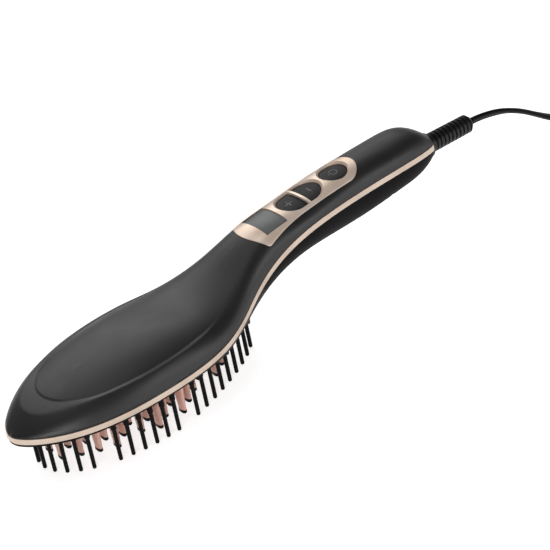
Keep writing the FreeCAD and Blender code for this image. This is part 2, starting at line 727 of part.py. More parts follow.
def bristle_places():
    """One bristle at the nose, then pairs along both sides; two pairs are left out."""
    curve = row_wire().Edges[0].Curve
    half = curve.length() / 2
    front, rear = size("bristle_pitch"), size("bristle_rear_pitch")
    gaps = (round(size("bristle_gap_front")), round(size("bristle_gap_rear")))
    distances = [front * step for step in range(1, gaps[1]) if step not in gaps]
    distance = front * gaps[1] + rear
    while distance < half - rear / 2:
        distances.append(distance)
        distance += rear
    places = [curve.value(curve.FirstParameter)]
    for distance in distances:
        spot = curve.value(curve.parameterAtDistance(distance, curve.FirstParameter))
        places += [spot, Vector(spot.x, -spot.y, spot.z)]
    return places


def tooth_places():
    """Staggered columns of teeth inside the row."""
    wire = row_wire()
    inside = Part.Face(wire)
    pitch, spacing = size("tooth_pitch"), size("tooth_spacing")
    places = []
    for column in range(-12, 13):
        shift = 0.0 if column % 2 == 0 else 0.5
        for step in range(-5, 6):
            spot = at(MIDDLE + column * pitch, (step + shift) * spacing, 0)
            clear = Part.Vertex(spot).distToShape(wire)[0]
            if clear >= size("tooth_inset") and inside.isInside(spot, 0.01, True):
                places.append(spot)
    return places


def bristle():
    """One outer bristle, standing on its tip at the origin, with a stem for the frame."""
    tip, root = size("bristle_radius"), size("bristle_root_radius")
    high = FLOOR - size("bristle_root_length")
    shaft = Part.makeCylinder(tip, high - tip * 0.8, Vector(0, 0, tip * 0.8))
    ball = Part.makeSphere(tip, Vector(0, 0, tip))
    shoulder = Part.makeCone(tip, root, 1.0, Vector(0, 0, high))
    foot = Part.makeCylinder(root, FLOOR - high - 1.0, Vector(0, 0, high + 1.0))
    stem = Part.makeCylinder(tip, size("bristle_stem"), Vector(0, 0, FLOOR))
    return ball.fuse([shaft, shoulder, foot, stem]).removeSplitter()


def oval(across, along, height):
    """A flat ellipse across the brush."""
    ring = Part.Ellipse(Vector(0, 0, height), across / 2, along / 2).toShape()
    return Part.Wire(ring.rotate(Vector(0, 0, height), UP, 90))


def tooth():
    """One heated tooth under the plate, tapering to its cap."""
    across, along, taper = size("tooth_width"), size("tooth_thickness"), size("tooth_taper")
    tip = oval(across * taper, along * taper, size("tooth_tip_height"))
    return Part.makeLoft([tip, oval(across, along, FLOOR)], True, True)


def tooth_cap():
    """Insulating cap that closes a tooth's tip."""
    taper, lip = size("tooth_taper"), 2 * size("cap_lip")
    across, along = size("tooth_width") * taper + lip, size("tooth_thickness") * taper + lip
    top = size("tooth_tip_height")
    low = top - size("cap_height")
    middle = top - size("cap_height") * 0.6
    rings = [oval(across * 0.72, along * 0.72, low), oval(across, along, middle), oval(across, along, top)]
    return Part.makeLoft(rings, True, True)


def heel_stem():
    """Stem of the heel peg in the frame."""
    return post(size("heel_along"), 0, FLOOR, FRAME_TOP, size("bristle_root_radius"))


def heel_peg():
    """Short, thick peg at the rear end of the row."""
    across, along = size("heel_width"), size("heel_depth")
    low, taper = size("heel_tip_height"), size("tooth_taper")
    rings = [
        oval(across * taper * 0.8, along * taper * 0.8, low), oval(across * taper, along * taper, low + 0.7),
        oval(across, along, FLOOR),
    ]
    peg = Part.makeLoft(rings, True, True).translated(at(size("heel_along"), 0, 0))
    return peg.fuse(heel_stem())


def copies(shape, places):
    """One compound with a copy of the shape at each place."""
    return Part.makeCompound([shape.translated(Vector(spot.x, spot.y, 0)) for spot in places])


def bristle_frame():
    """Flat underside of the head: carries the bristles round a window for the plate."""
    rim = OUTER.common(BELOW_BAND).fuse(body_solid(WALL + size("joint_gap")))
    frame = rim.common(slab(FLOOR, 80, -30, FRAME_END)).cut(HOLLOW.common(slab(FRAME_TOP, 80)))
    window = size("window_inset")
    ledge = window - size("plate_flange")
    rebate = row_block(ledge, FLOOR - 1, FLOOR + size("plate_flange_thickness"))
    seat = post(-NOSE, 0, FLOOR - 1, FLOOR + size("bristle_stem"), size("bristle_radius"))
    seats = copies(seat, bristle_places())
    frame = frame.cut([row_block(window, FLOOR - 1, FRAME_TOP + 1), rebate])
    return frame.cut(seats.Solids + [heel_peg(), REVEAL_BELOW])


def heater_posts():
    reach = size("heater_length") / 2 + size("mica_margin") + size("post_radius")
    return [(MIDDLE - reach, 0), (MIDDLE + reach, 0)]


def countersunk(x, y, length):
    """A countersunk screw with its head in the plate's face."""
    head, thread = size("screw_head_radius"), size("screw_radius")
    cone = Part.makeCone(head, thread, size("screw_head_height"), at(x, y, FLOOR))
    return cone.fuse(post(x, y, FLOOR, FLOOR + length, thread)).removeSplitter()


def heating_plate():
    """Metal plate in the frame's window, its flange let into the frame from below."""
    gap, window = size("plate_gap"), size("window_inset")
    island = row_block(window + gap, FLOOR, PLATE_TOP)
    flange = row_block(window - size("plate_flange") + gap, FLOOR, FLOOR + size("plate_flange_thickness"))
    top = PLATE_TOP + size("heater_thickness") + size("mica_thickness")
    posts = [post(x, y, PLATE_TOP, top, size("post_radius")) for x, y in heater_posts()]
    plate = island.fuse([flange] + posts)
    holes = [countersunk(x, y, PLATE_TOP + 1 - FLOOR) for x, y in plate_screw_places()]
    bottom = top + size("clamp_thickness") - size("small_screw_length")
    holes += [post(x, y, bottom, top + 1, size("small_screw_radius")) for x, y in heater_posts()]
    return plate.cut(holes)


# ------------------------------------------------------------------ panel, display and keys
def off_outline(spot):
    """Distance of a place in the panel's plane from the outlines of the key openings."""
    half, centre = size("key_hole_half"), size("key_hole_reach") - size("key_hole_half")
    oval = math.hypot(max(abs(spot.x) - centre, 0), spot.y) - half
    disc = math.hypot(spot.x - size("power_offset"), spot.y) - size("power_radius")
    return min(abs(oval), abs(disc))


def opening_rims(panel):
    """Upper edges of the key openings, apart from those along the rib."""
    upper = {}
    for edge in panel.Edges:
        spots = [PANEL.inverse().multVec(spot) for spot in edge.discretize(7)]
        span = spots[-1] - spots[0]
        upright = math.hypot(span.x, span.y) < 0.5
        if upright or max(off_outline(spot) for spot in spots) > 0.02:
            continue
        place = (round(spots[3].x), round(spots[3].y))
        if place not in upper or upper[place][0] < spots[3].z:
            upper[place] = (spots[3].z, edge)
    return [edge for height, edge in upper.values()]


def control_panel():
    """The panel with its openings, chamfered round the keys."""
    panel = panel_prism().common(PROUD).cut(PANEL_BED).cut(panel_openings())
    return panel.makeChamfer(size("key_rim"), opening_rims(panel))


def display_window():
    """Window over the display, flat underneath."""
    block = display_block(0, -size("display_depth"), 8)
    return block.common(body_solid(size("display_recess")))


def key(outline, flange, centre):
    """A key: cap set into the panel, flange under the shell, and stem."""
    low = -size("key_flange_depth") - size("key_flange_thickness")
    cap = outline(-size("key_gap"), low, 8).common(body_solid(size("key_recess")))
    foot = outline(flange - size("key_gap"), low, low + size("key_flange_thickness"))
    end = -size("key_stem_end")
    stem = Part.makeCylinder(size("key_stem_radius"), low - end, Vector(centre, 0, end))
    return cap.fuse([foot, stem.transformed(PANEL.toMatrix())]).removeSplitter()


def key_centre(side):
    """Centre of a temperature key from the rib."""
    return side * (size("key_hole_reach") + size("key_rib") / 2) / 2


# ------------------------------------------------------------------ swivel
def strain_relief():
    """Ribbed relief behind the tail, turning with its sleeve, retaining flange and spindle."""
    gap, sleeve = size("running_gap"), size("journal_radius")
    outer, groove = size("relief_radius"), size("relief_groove")
    start = COLLAR_REAR + gap
    length, ribs = size("relief_length"), round(size("relief_ribs"))
    pitch = length / ribs
    profile = [
        (SPINDLE_FRONT, 0), (SPINDLE_FRONT, size("spindle_radius")), (RETAINER_FRONT, size("spindle_radius")),
        (RETAINER_FRONT, size("retainer_radius")), (COLLAR_FRONT - gap, size("retainer_radius")),
        (COLLAR_FRONT - gap, sleeve), (start, sleeve), (start, outer),
    ]
    for rib in range(ribs):
        slope = 0.25 * rib / ribs
        end = (rib + 1) * pitch
        profile += [
            (end - pitch * 0.45, outer - slope), (end - pitch * 0.35, outer - slope - groove),
            (end - pitch * 0.1, outer - slope - groove), (end, outer - slope),
        ]
    profile += [(SWIVEL_REACH, RELIEF_END), (SWIVEL_REACH, 0)]
    return turned(profile)


def slip_rings():
    rings = []
    for start in (size("ring_first"), size("ring_second")):
        low = SPINDLE_FRONT + start
        ring = along_swivel(size("slip_ring_radius"), low, low + size("slip_ring_width"))
        rings.append(ring.cut(along_swivel(size("spindle_radius"), low - 1, low + 10)))
    return Part.makeCompound(rings)


def contact_springs():
    """Two contacts that stand on the contact block under their rings."""
    top = size("slip_ring_radius") + size("contact_gap")
    width = size("slip_ring_width") * 0.7
    springs = []
    for start in (size("ring_first"), size("ring_second")):
        low = SPINDLE_FRONT + start + (size("slip_ring_width") - width) / 2
        spring = Part.makeBox(size("contact_top") - top, 2.4, width, Vector(top, -1.2, low))
        springs.append(spring.transformed(SWIVEL.toMatrix()))
    return Part.makeCompound(springs)


# ------------------------------------------------------------------ cord, leads and plug
def route(points, share=0.45):
    """Straight runs joined by tangent arcs, and the arcs' radii."""
    edges, radii, last = [], [], points[0]
    for before, corner, after in zip(points, points[1:], points[2:]):
        first, second = corner - before, after - corner
        turn = first.getAngle(second)
        trim = share * min(first.Length, second.Length)
        radius = trim / math.tan(turn / 2)
        into, out = first.normalize(), second.normalize()
        start, end = corner - into * trim, corner + out * trim
        inwards = (out - into).normalize()
        middle = corner + inwards * (radius / math.cos(turn / 2) - radius)
        edges += [Part.makeLine(last, start), Part.Arc(start, middle, end).toShape()]
        radii.append(radius)
        last = end
    edges.append(Part.makeLine(last, points[-1]))
    return Part.Wire(edges), radii


def tube(points, radius):
    """A round tube along a route."""
    path, radii = route(points)
    ring = Part.Circle(points[0], points[1] - points[0], radius).toShape()
    solid = path.makePipeShell([Part.Wire(ring)], True, False)
    expected = math.pi * radius ** 2 * path.Length
    if abs(solid.Volume - expected) > expected * 0.005:
        raise ValueError("a tube's volume doesn't match its section and length")
    return solid, radii


def relief_end(distance):
    """A point on the swivel axis behind the end of the strain relief."""
    return SWIVEL.multVec(Vector(0, 0, SWIVEL_REACH + distance))


CORD_POINTS = [
    relief_end(size("cord_exit_gap")), relief_end(10.0),
    at(346.5, 0.3, 33.0), at(371.0, 0.9, 14.8), at(387.0, 1.6, 4.6),
    at(398.5, 3.1, 2.2), at(408.5, 4.7, 2.2), at(418.0, 5.2, 2.2),
]
PLUG_POINTS = [
    at(433.0, 5.3, 9.8), at(448.0, 5.6, 8.0), at(466.0, 5.2, 3.6), at(483.0, 3.9, 2.7), at(499.0, 1.8, 6.85),
    at(513.0, 0.0, 6.85),
]
COIL = at(size("coil_along"), size("coil_across"), 0)


def cord_tie():
    """Band round the coil's section at its far side, flush with the coil."""
    radius, width, height = size("coil_middle_radius"), size("coil_width"), size("coil_height")
    long, thick = size("tie_width"), size("tie_thickness")
    near = radius - width / 2 - 0.7
    far = radius + width / 2
    outer = Part.makeBox(long, far - near, height, COIL + Vector(-long / 2, -far, 0))
    inner = Part.makeBox(long + 2, far - near - 2 * thick, height - 2 * thick,
                         COIL + Vector(-long / 2 - 1, -far + thick, thick))
    lengthwise = [edge for edge in outer.Edges if abs(edge.BoundBox.XLength - long) < 0.01]
    inner_edges = [edge for edge in inner.Edges if abs(edge.BoundBox.XLength - long - 2) < 0.01]
    return outer.makeFillet(1.9, lengthwise).cut(inner.makeFillet(1.2, inner_edges))


def cord_coil():
    """The coiled length as one ring with rounded edges."""
    radius, width, height = size("coil_middle_radius"), size("coil_width"), size("coil_height")
    face = Part.Face(Part.makePolygon([
        COIL + Vector(radius - width / 2, 0, 0), COIL + Vector(radius + width / 2, 0, 0),
        COIL + Vector(radius + width / 2, 0, height), COIL + Vector(radius - width / 2, 0, height),
        COIL + Vector(radius - width / 2, 0, 0),
    ]))
    ring = face.revolve(COIL, UP, 360)
    circles = [edge for edge in ring.Edges if edge.Closed]
    return ring.makeFillet(size("cord_radius"), circles)


# ------------------------------------------------------------------ sketched sub-parts
def base_plane(body, role):
    return next(item for item in body.Origin.OriginFeatures if item.Role == role)


def new_sketch(body, name, role):
    sketch = body.newObject("Sketcher::SketchObject", name)
    sketch.AttachmentSupport = (base_plane(body, role), [""])
    sketch.MapMode = "FlatFace"
    return sketch


def bound_constraint(sketch, name, formula, *reference):
    """A dimension of the sketch, bound to the sheet."""
    start = 10.0 if len(reference) < 4 else 5.0
    index = sketch.addConstraint(Sketcher.Constraint(*reference, start))
    sketch.renameConstraint(index, name)
    sketch.setExpression(f"Constraints.{name}", cell(formula))


def rectangle(sketch, corners):
    """Four lines round two opposite corners, kept square."""
    (x0, y0), (x1, y1) = corners
    spots = [Vector(x0, y0, 0), Vector(x1, y0, 0), Vector(x1, y1, 0), Vector(x0, y1, 0)]
    for start, end in zip(spots, spots[1:] + spots[:1]):
        sketch.addGeometry(Part.LineSegment(start, end))
    for line in range(4):
        sketch.addConstraint(Sketcher.Constraint("Coincident", line, 2, (line + 1) % 4, 1))
    for line in (0, 2):
        sketch.addConstraint(Sketcher.Constraint("Horizontal", line))
    for line in (1, 3):
        sketch.addConstraint(Sketcher.Constraint("Vertical", line))


def plate_part(name, placement, length, width, thickness, hole, places):
    """A flat rectangular plate about its middle, with round holes through it."""
    body = doc.addObject("PartDesign::Body", name)
    outline = new_sketch(body, f"{name}_outline", "XY_Plane")
    rectangle(outline, ((-20, -5), (20, 5)))
    outline.addConstraint(Sketcher.Constraint("Symmetric", 0, 1, 2, 1, -1, 1))
    bound_constraint(outline, "long", length, "DistanceX", 0, 1, 0, 2)
    bound_constraint(outline, "wide", width, "DistanceY", 1, 1, 1, 2)
    pad = body.newObject("PartDesign::Pad", f"{name}_pad")
    pad.Profile = outline
    pad.setExpression("Length", cell(thickness))
    doc.recompute()
    holes = new_sketch(body, f"{name}_holes", "XY_Plane")
    for number, (along, across) in enumerate(places):
        circle = holes.addGeometry(Part.Circle(Vector(7.0 * along[0], 3.0 * across[0], 0), UP, 1.0))
        bound_constraint(holes, f"bore{number}", hole, "Radius", circle)
        if across[0] == 0:
            holes.addConstraint(Sketcher.Constraint("PointOnObject", circle, 3, -1))
        else:
            offset_constraint(holes, f"across{number}", across, "DistanceY", circle)
        offset_constraint(holes, f"along{number}", along, "DistanceX", circle)
    pocket = body.newObject("PartDesign::Pocket", f"{name}_bores")
    pocket.Profile = holes
    pocket.Type = "ThroughAll"
    pocket.Reversed = True
    body.Placement = placement
    return body


def offset_constraint(sketch, name, offset, kind, circle):
    """A circle's distance from the origin: (sign, formula)."""
    sign, formula = offset
    ends = (-1, 1, circle, 3) if sign > 0 else (circle, 3, -1, 1)
    bound_constraint(sketch, name, formula, kind, *ends)


def ring_part(name, placement, inner, outer, length):
    """A turned ring along +Z from its placement."""
    body = doc.addObject("PartDesign::Body", name)
    profile = new_sketch(body, f"{name}_profile", "XZ_Plane")
    rectangle(profile, ((3, 0), (6, 10)))
    profile.addConstraint(Sketcher.Constraint("PointOnObject", 0, 1, -1))
    bound_constraint(profile, "inner", inner, "DistanceX", -1, 1, 0, 1)
    bound_constraint(profile, "outer", outer, "DistanceX", -1, 1, 0, 2)
    bound_constraint(profile, "tall", length, "DistanceY", 1, 1, 1, 2)
    turn = body.newObject("PartDesign::Revolution", f"{name}_turned")
    turn.Profile = profile
    turn.ReferenceAxis = (profile, ["V_Axis"])
    turn.Angle = 360
    body.Placement = placement
    return body


def screw(name, placement, length):
    """A pan-headed screw: its head below the placement's plane, its thread above."""
    thread = primitive("Cylinder", f"{name}_thread", placement, Radius="small_screw_radius", Height=length)
    head_base = placement * Placement(Vector(0, 0, -size("small_head_height")), Rotation())
    head = primitive("Cylinder", f"{name}_head", head_base, Radius="small_head_radius", Height="small_head_height")
    return combine("MultiFuse", name, thread, head)


# ------------------------------------------------------------------ sub-parts: housing
keep("top_shell", top_shell())
keep("trim_band", trim_band())
keep("bottom_shell", bottom_shell())
keep("bristle_frame", bristle_frame())
keep("control_panel", control_panel())
keep("display_window", display_window())
keep("power_button", key(power_disc, size("key_flange"), size("power_offset")))


def temperature_key(side):
    def outline(grow, low, high):
        return half_stadium(side, grow, low, high)
    return key(outline, size("key_flange"), key_centre(side))


keep("plus_button", temperature_key(-1))
keep("minus_button", temperature_key(1))

# ------------------------------------------------------------------ sub-parts: head
keep("outer_bristles", copies(bristle(), bristle_places()))
keep("heel_peg", heel_peg())
keep("heating_plate", heating_plate())
keep("heating_teeth", copies(tooth(), tooth_places()))
keep("tooth_caps", copies(tooth_cap(), tooth_places()))

heater = primitive(
    "Box", "ceramic_heater", level(MIDDLE - size("heater_length") / 2, -size("heater_width") / 2, PLATE_TOP),
    Length="heater_length", Width="heater_width", Height="heater_thickness",
)
node("ceramic_heater", heater)
MICA_BASE = PLATE_TOP + size("heater_thickness")
mica_front = MIDDLE - size("heater_length") / 2 - size("mica_margin")
mica = primitive(
    "Box", "mica_sheet", level(mica_front, -size("heater_width") / 2 - size("mica_margin"), MICA_BASE),
    Length="heater_length + 2 * mica_margin", Width="heater_width + 2 * mica_margin", Height="mica_thickness",
)
node("mica_sheet", mica)
CLAMP_BASE = MICA_BASE + size("mica_thickness")
CLAMP_TOP = CLAMP_BASE + size("clamp_thickness")
POST_REACH = "heater_length / 2 + mica_margin + post_radius"
clamp = plate_part(
    "heater_clamp", level(MIDDLE, 0, CLAMP_BASE), f"2 * ( {POST_REACH} + post_radius )", "clamp_width",
    "clamp_thickness", "small_screw_radius", [((-1, POST_REACH), (0, "")), ((1, POST_REACH), (0, ""))],
)
node("heater_clamp", clamp)
UPSIDE_DOWN = Rotation(ALONG, 180)
clamp_screws = [
    screw(f"clamp_screw_{number}", Placement(at(x, y, CLAMP_TOP), UPSIDE_DOWN), "small_screw_length")
    for number, (x, y) in enumerate(heater_posts())
]
node("clamp_screws", combine("Compound", "clamp_screws", *clamp_screws))
fuse_base = at(
    MIDDLE - size("heater_length") / 2 + size("sensor_inset") - size("fuse_length") / 2, size("sensor_across"),
    PLATE_TOP + size("fuse_radius"),
)
LENGTHWISE = Rotation(ACROSS, 90)
fuse = primitive(
    "Cylinder", "thermal_fuse", Placement(fuse_base, LENGTHWISE), Radius="fuse_radius", Height="fuse_length",
)
node("thermal_fuse", fuse)
thermistor_base = at(
    MIDDLE + size("heater_length") / 2 - size("sensor_inset") - size("thermistor_length") / 2, -size("sensor_across"),
    PLATE_TOP + size("thermistor_radius"),
)
thermistor = primitive(
    "Cylinder", "thermistor", Placement(thermistor_base, LENGTHWISE),
    Radius="thermistor_radius", Height="thermistor_length",
)
node("thermistor", thermistor)
plate_screws = [countersunk(x, y, size("plate_screw_length")) for x, y in plate_screw_places()]
keep("plate_screws", Part.makeCompound(plate_screws))


def heater_lead(side):
    """One lead from the heater's rear end over the neck to the power board's front edge."""
    rear = MIDDLE + size("heater_length") / 2
    low = PLATE_TOP + size("lead_radius") + 0.05
    board = size("power_board_height") + size("board_thickness") + size("lead_radius") + 0.05
    points = [
        at(rear + 0.05, side * 5.5, low), at(rear + 9.5, side * 5.6, low), at(rear + 24, side * 5.9, low + 3.4),
        at(rear + 40, side * 6.1, low + 7.6), at(rear + 54, side * 5.0, board + 0.3),
        at(size("power_board_front") + 3.5, side * 2.0, board),
    ]
    return tube(points, size("lead_radius"))[0]


keep("heater_leads", Part.makeCompound([heater_lead(1), heater_lead(-1)]))

# ------------------------------------------------------------------ sub-parts: handle
control_board = plate_part(
    "control_board",
    on_panel((size("control_board_rear") - size("control_board_front")) / 2, 0, BOARD_TOP - size("board_thickness")),
    "control_board_front + control_board_rear", "2 * control_board_half", "board_thickness", "small_screw_radius",
    [((side, "( control_board_front + control_board_rear ) / 2 - pillar_radius"),
      (edge, "control_board_half - pillar_radius")) for side in (-1, 1) for edge in (-1, 1)],
)
node("control_board", control_board)
power_board = plate_part(
    "power_board",
    level(size("power_board_front") + size("power_board_length") / 2, 0, size("power_board_height")),
    "power_board_length", "2 * power_board_half", "board_thickness", "small_screw_radius",
    [((side, "power_board_length / 2 - pillar_radius"), (edge, "power_board_half - pillar_radius"))
     for side in (-1, 1) for edge in (-1, 1)],
)
node("power_board", power_board)
BOARD_DECK = size("power_board_height") + size("board_thickness")
board_screws = [
    screw(f"control_screw_{number}", on_panel(along, across, BOARD_TOP - size("board_thickness")),
          "small_screw_length")
    for number, (along, across) in enumerate(board_pillars())
] + [
    screw(f"power_screw_{number}", Placement(at(x, y, BOARD_DECK), UPSIDE_DOWN), "small_screw_length")
    for number, (x, y) in enumerate(power_pillars())
]
node("board_screws", combine("Compound", "board_screws", *board_screws))
LCD_TOP = -size("display_depth") - size("display_gap")
lcd_front = -size("display_front") + size("lcd_margin")
lcd = primitive(
    "Box", "lcd_module", on_panel(lcd_front, size("lcd_margin") - size("display_half"), BOARD_TOP),
    Length="display_front - display_rear - 2 * lcd_margin", Width="2 * ( display_half - lcd_margin )",
    Height="key_stem_end + switch_gap + switch_height - display_depth - display_gap",
)
node("lcd_module", lcd)
switches = []
for number, along in enumerate((key_centre(-1), key_centre(1), size("power_offset"))):
    corner = on_panel(along - size("switch_side") / 2, -size("switch_side") / 2, BOARD_TOP)
    switches.append(primitive(
        "Box", f"button_switch_{number}", corner,
        Length="switch_side", Width="switch_side", Height="switch_height",
    ))
node("button_switches", combine("Compound", "button_switches", *switches))
TERMINAL_REAR = size("power_board_front") + size("power_board_length") - size("terminal_inset")
TERMINAL_FRONT = TERMINAL_REAR - size("terminal_length")
terminal = primitive(
    "Box", "terminal_block", level(TERMINAL_FRONT, -size("terminal_width") / 2, BOARD_DECK),
    Length="terminal_length", Width="terminal_width", Height="terminal_height",
)
CAPACITOR_FRONT = TERMINAL_FRONT - size("capacitor_gap") - size("capacitor_length")
capacitor_base = at(CAPACITOR_FRONT, 0, BOARD_DECK + size("capacitor_radius"))
capacitor = primitive(
    "Cylinder", "mains_capacitor", Placement(capacitor_base, LENGTHWISE),
    Radius="capacitor_radius", Height="capacitor_length",
)
node("mains_capacitor", capacitor)
triac_front = CAPACITOR_FRONT - size("triac_gap") - size("triac_thickness")
triac = primitive(
    "Box", "triac", level(triac_front, -size("triac_width") / 2, BOARD_DECK),
    Length="triac_thickness", Width="triac_width", Height="triac_height",
)
node("triac", triac)
node("terminal_block", terminal)


def shell_screw(number, x, y):
    seat = shell_screw_seat(x)
    thread = primitive(
        "Cylinder", f"shell_screw_{number}_thread", level(x, y, seat),
        Radius="screw_radius", Height="shell_screw_length",
    )
    head = primitive(
        "Cylinder", f"shell_screw_{number}_head", level(x, y, seat - size("screw_head_height")),
        Radius="screw_head_radius", Height="screw_head_height",
    )
    return combine("MultiFuse", f"shell_screw_{number}", thread, head)


shell_screws = [shell_screw(number, x, y) for number, (x, y) in enumerate(shell_screw_places())]
node("shell_screws", combine("Compound", "shell_screws", *shell_screws))

# ------------------------------------------------------------------ sub-parts: swivel and leads
collar = ring_part(
    "swivel_collar", SWIVEL * Placement(Vector(0, 0, COLLAR_FRONT), Rotation()),
    "journal_radius + running_gap", "collar_radius", "collar_length",
)
node("swivel_collar", collar)
keep("strain_relief", strain_relief())
keep("slip_rings", slip_rings())
contact_block = primitive(
    "Box", "contact_block",
    SWIVEL * Placement(Vector(size("contact_top"), -size("contact_half"), SPINDLE_FRONT), Rotation()),
    Length="contact_bottom - contact_top", Width="2 * contact_half", Height="spindle_length",
)
node("contact_block", contact_block)
keep("contact_springs", contact_springs())


def mains_lead(side):
    """One lead from the contact block to the rear of the terminal block."""
    middle = (size("contact_top") + size("contact_bottom")) / 2
    start = SWIVEL.multVec(Vector(middle, side * 2.4, SPINDLE_FRONT - 0.2))
    end = at(TERMINAL_REAR + 0.2, side * 2.4, BOARD_DECK + size("terminal_height") / 2)
    span = end - start
    points = [
        start, start + span * 0.33 + Vector(0, side * 0.5, 0.4), start + span * 0.66 + Vector(0, side * 0.4, 0.5),
        end,
    ]
    return tube(points, size("lead_radius"))[0]


keep("mains_leads", Part.makeCompound([mains_lead(1), mains_lead(-1)]))

# ------------------------------------------------------------------ sub-parts: cord and plug
tie = cord_tie()
coil = cord_coil().cut(tie)
cord, cord_radii = tube(CORD_POINTS, size("cord_radius"))
plug_lead, plug_radii = tube(PLUG_POINTS, size("cord_radius"))
keep("cord", cord.cut(cord_coil()))
keep("cord_coil", coil)
keep("cord_tie", tie)
keep("plug_lead", plug_lead.cut(cord_coil()))
print("bend radii of the cord:", " ".join(f"{radius:.1f}" for radius in cord_radii + plug_radii))

plug_heading = PLUG_POINTS[-1] - PLUG_POINTS[-2]
PLUG = Placement(PLUG_POINTS[-1], Rotation(UP, math.degrees(math.atan2(plug_heading.y, plug_heading.x))))


def on_plug(forwards, across, up, turn=Rotation()):
    return PLUG * Placement(Vector(forwards, across, up), turn)


neck = primitive(
    "Cone", "plug_neck", on_plug(0, 0, 0, LENGTHWISE),
    Radius1="plug_neck_radius - 0.8", Radius2="plug_neck_radius", Height="plug_neck_length",
)
plug_block = primitive(
    "Box", "plug_block", on_plug(size("plug_neck_length"), -size("plug_width") / 2, -size("plug_thickness") / 2),
    Length="plug_length", Width="plug_width", Height="plug_thickness",
)
rounded = doc.addObject("Part::Fillet", "plug_rounded")
rounded.Base = plug_block
doc.recompute()
rounded.Edges = [(index + 1, 3.0, 3.0) for index in range(len(plug_block.Shape.Edges))]
FACE = size("plug_neck_length") + size("plug_length")
bores = []
pins = []
for number, side in enumerate((-1, 1)):
    across = side * size("plug_pin_spacing") / 2
    root = on_plug(FACE - size("plug_pin_seat"), across, 0, LENGTHWISE)
    face = on_plug(FACE, across, 0, LENGTHWISE)
    bores.append(primitive(
        "Cylinder", f"pin_bore_{number}", root, Radius="plug_shank_radius", Height="plug_pin_seat + 1",
    ))
    shank = primitive("Cylinder", f"pin_shank_{number}", root, Radius="plug_shank_radius", Height="plug_pin_seat")
    pin = primitive("Cylinder", f"pin_{number}", face, Radius="plug_pin_radius", Height="plug_pin_length")
    pins.append(combine("MultiFuse", f"plug_pin_{number}", shank, pin))
whole = combine("MultiFuse", "plug_whole", neck, rounded)
node("plug_body", combine("Cut", "plug_body", whole, combine("Compound", "pin_bores", *bores)))
node("plug_pins", combine("Compound", "plug_pins", *pins))

# ------------------------------------------------------------------ checks and export
doc.recompute()
for item in doc.Objects:
    if "Invalid" in item.State or "Error" in item.State:
        raise RuntimeError(f"{item.Name} did not compute: {item.State}")
for item in NODES:
    if item.Shape.isNull() or not item.Shape.isValid() or not item.Shape.Solids:
        raise RuntimeError(f"{item.Label} has no valid solid")
os.makedirs(OUT, exist_ok=True)
for item in NODES:
    item.Shape.exportStep(f"{OUT}/{item.Label}.step")
print(len(NODES), "sub-parts written")
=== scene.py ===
# %% [markdown]
# # A heated hair brush: the dressed model
# The solid model gives every piece of the brush its true size and place. This notebook
# loads it, lights it, and gives it what a solid model leaves out: the creased head, the
# bright edges of the panel, the printed key signs, the twin cord in its coil, and the
# finishes of all the plastics, coatings and metals.

# %% Load the solid model
import math
import bmesh
import bpy
from mathutils import Matrix, Vector
from mathutils.bvhtree import BVHTree


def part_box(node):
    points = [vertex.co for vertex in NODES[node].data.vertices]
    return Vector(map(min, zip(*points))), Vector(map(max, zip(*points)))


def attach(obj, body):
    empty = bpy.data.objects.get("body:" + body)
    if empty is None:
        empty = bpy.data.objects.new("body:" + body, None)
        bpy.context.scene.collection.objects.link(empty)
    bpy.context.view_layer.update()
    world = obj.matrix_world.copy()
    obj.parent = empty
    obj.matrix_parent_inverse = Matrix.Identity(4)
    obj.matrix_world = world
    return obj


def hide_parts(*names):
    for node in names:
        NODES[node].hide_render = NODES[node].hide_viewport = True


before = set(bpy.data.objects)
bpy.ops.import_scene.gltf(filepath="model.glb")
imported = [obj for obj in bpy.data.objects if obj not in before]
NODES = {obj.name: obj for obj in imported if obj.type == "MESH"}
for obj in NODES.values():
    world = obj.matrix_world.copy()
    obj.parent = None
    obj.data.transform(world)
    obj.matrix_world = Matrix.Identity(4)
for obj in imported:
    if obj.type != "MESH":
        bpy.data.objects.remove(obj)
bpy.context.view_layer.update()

# %% [markdown]
# Lengths are easiest to think of in millimetres from the nose of the head, as on a drawing,
# so one small helper turns such a place into the model's metres. Other lengths are given in
# millimetres too, and those of the camera, the floor and the lamps in metres.

# %% Places on the brush
MM = 0.001
NOSE_X = -0.1573004


def at(along, across, up):
    """A place given in millimetres from the nose, as a point of the model in metres."""
    return Vector((NOSE_X + along * MM, across * MM, up * MM))


print("the nose is at", tuple(round(v, 4) for v in at(0, 0, 27.6)))

# %% [markdown]
# ## The camera
# The view is from the front left and from above. A long lens far away keeps parallel edges
# nearly parallel. The three directions of the camera are its right, its up and its back.

# %% Camera
CAMERA_PLACE = (-0.7351355, -1.0698069, 0.8521687)
CAMERA_RIGHT = (0.7385523, -0.6515312, -0.1733425)
CAMERA_UP = (0.4686518, 0.3112955, 0.8267168)
CAMERA_BACK = (-0.4846710, -0.6918108, 0.5352493)
FOCAL_LENGTH = 198.698
SENSOR_WIDTH = 36.0
NEAREST, FARTHEST = 0.05, 20.0

lens = bpy.data.cameras.new("product_camera")
lens.lens = FOCAL_LENGTH
lens.sensor_width = SENSOR_WIDTH
lens.clip_start = NEAREST
lens.clip_end = FARTHEST
camera = bpy.data.objects.new("product_camera", lens)
camera.matrix_world = Matrix.Translation(CAMERA_PLACE) @ Matrix(
    (CAMERA_RIGHT, CAMERA_UP, CAMERA_BACK)
).transposed().to_4x4()
bpy.context.scene.collection.objects.link(camera)
bpy.context.scene.camera = camera
bpy.context.scene.view_settings.view_transform = "Standard"
print("camera", round(Vector(CAMERA_PLACE).length, 2), "m from the brush")

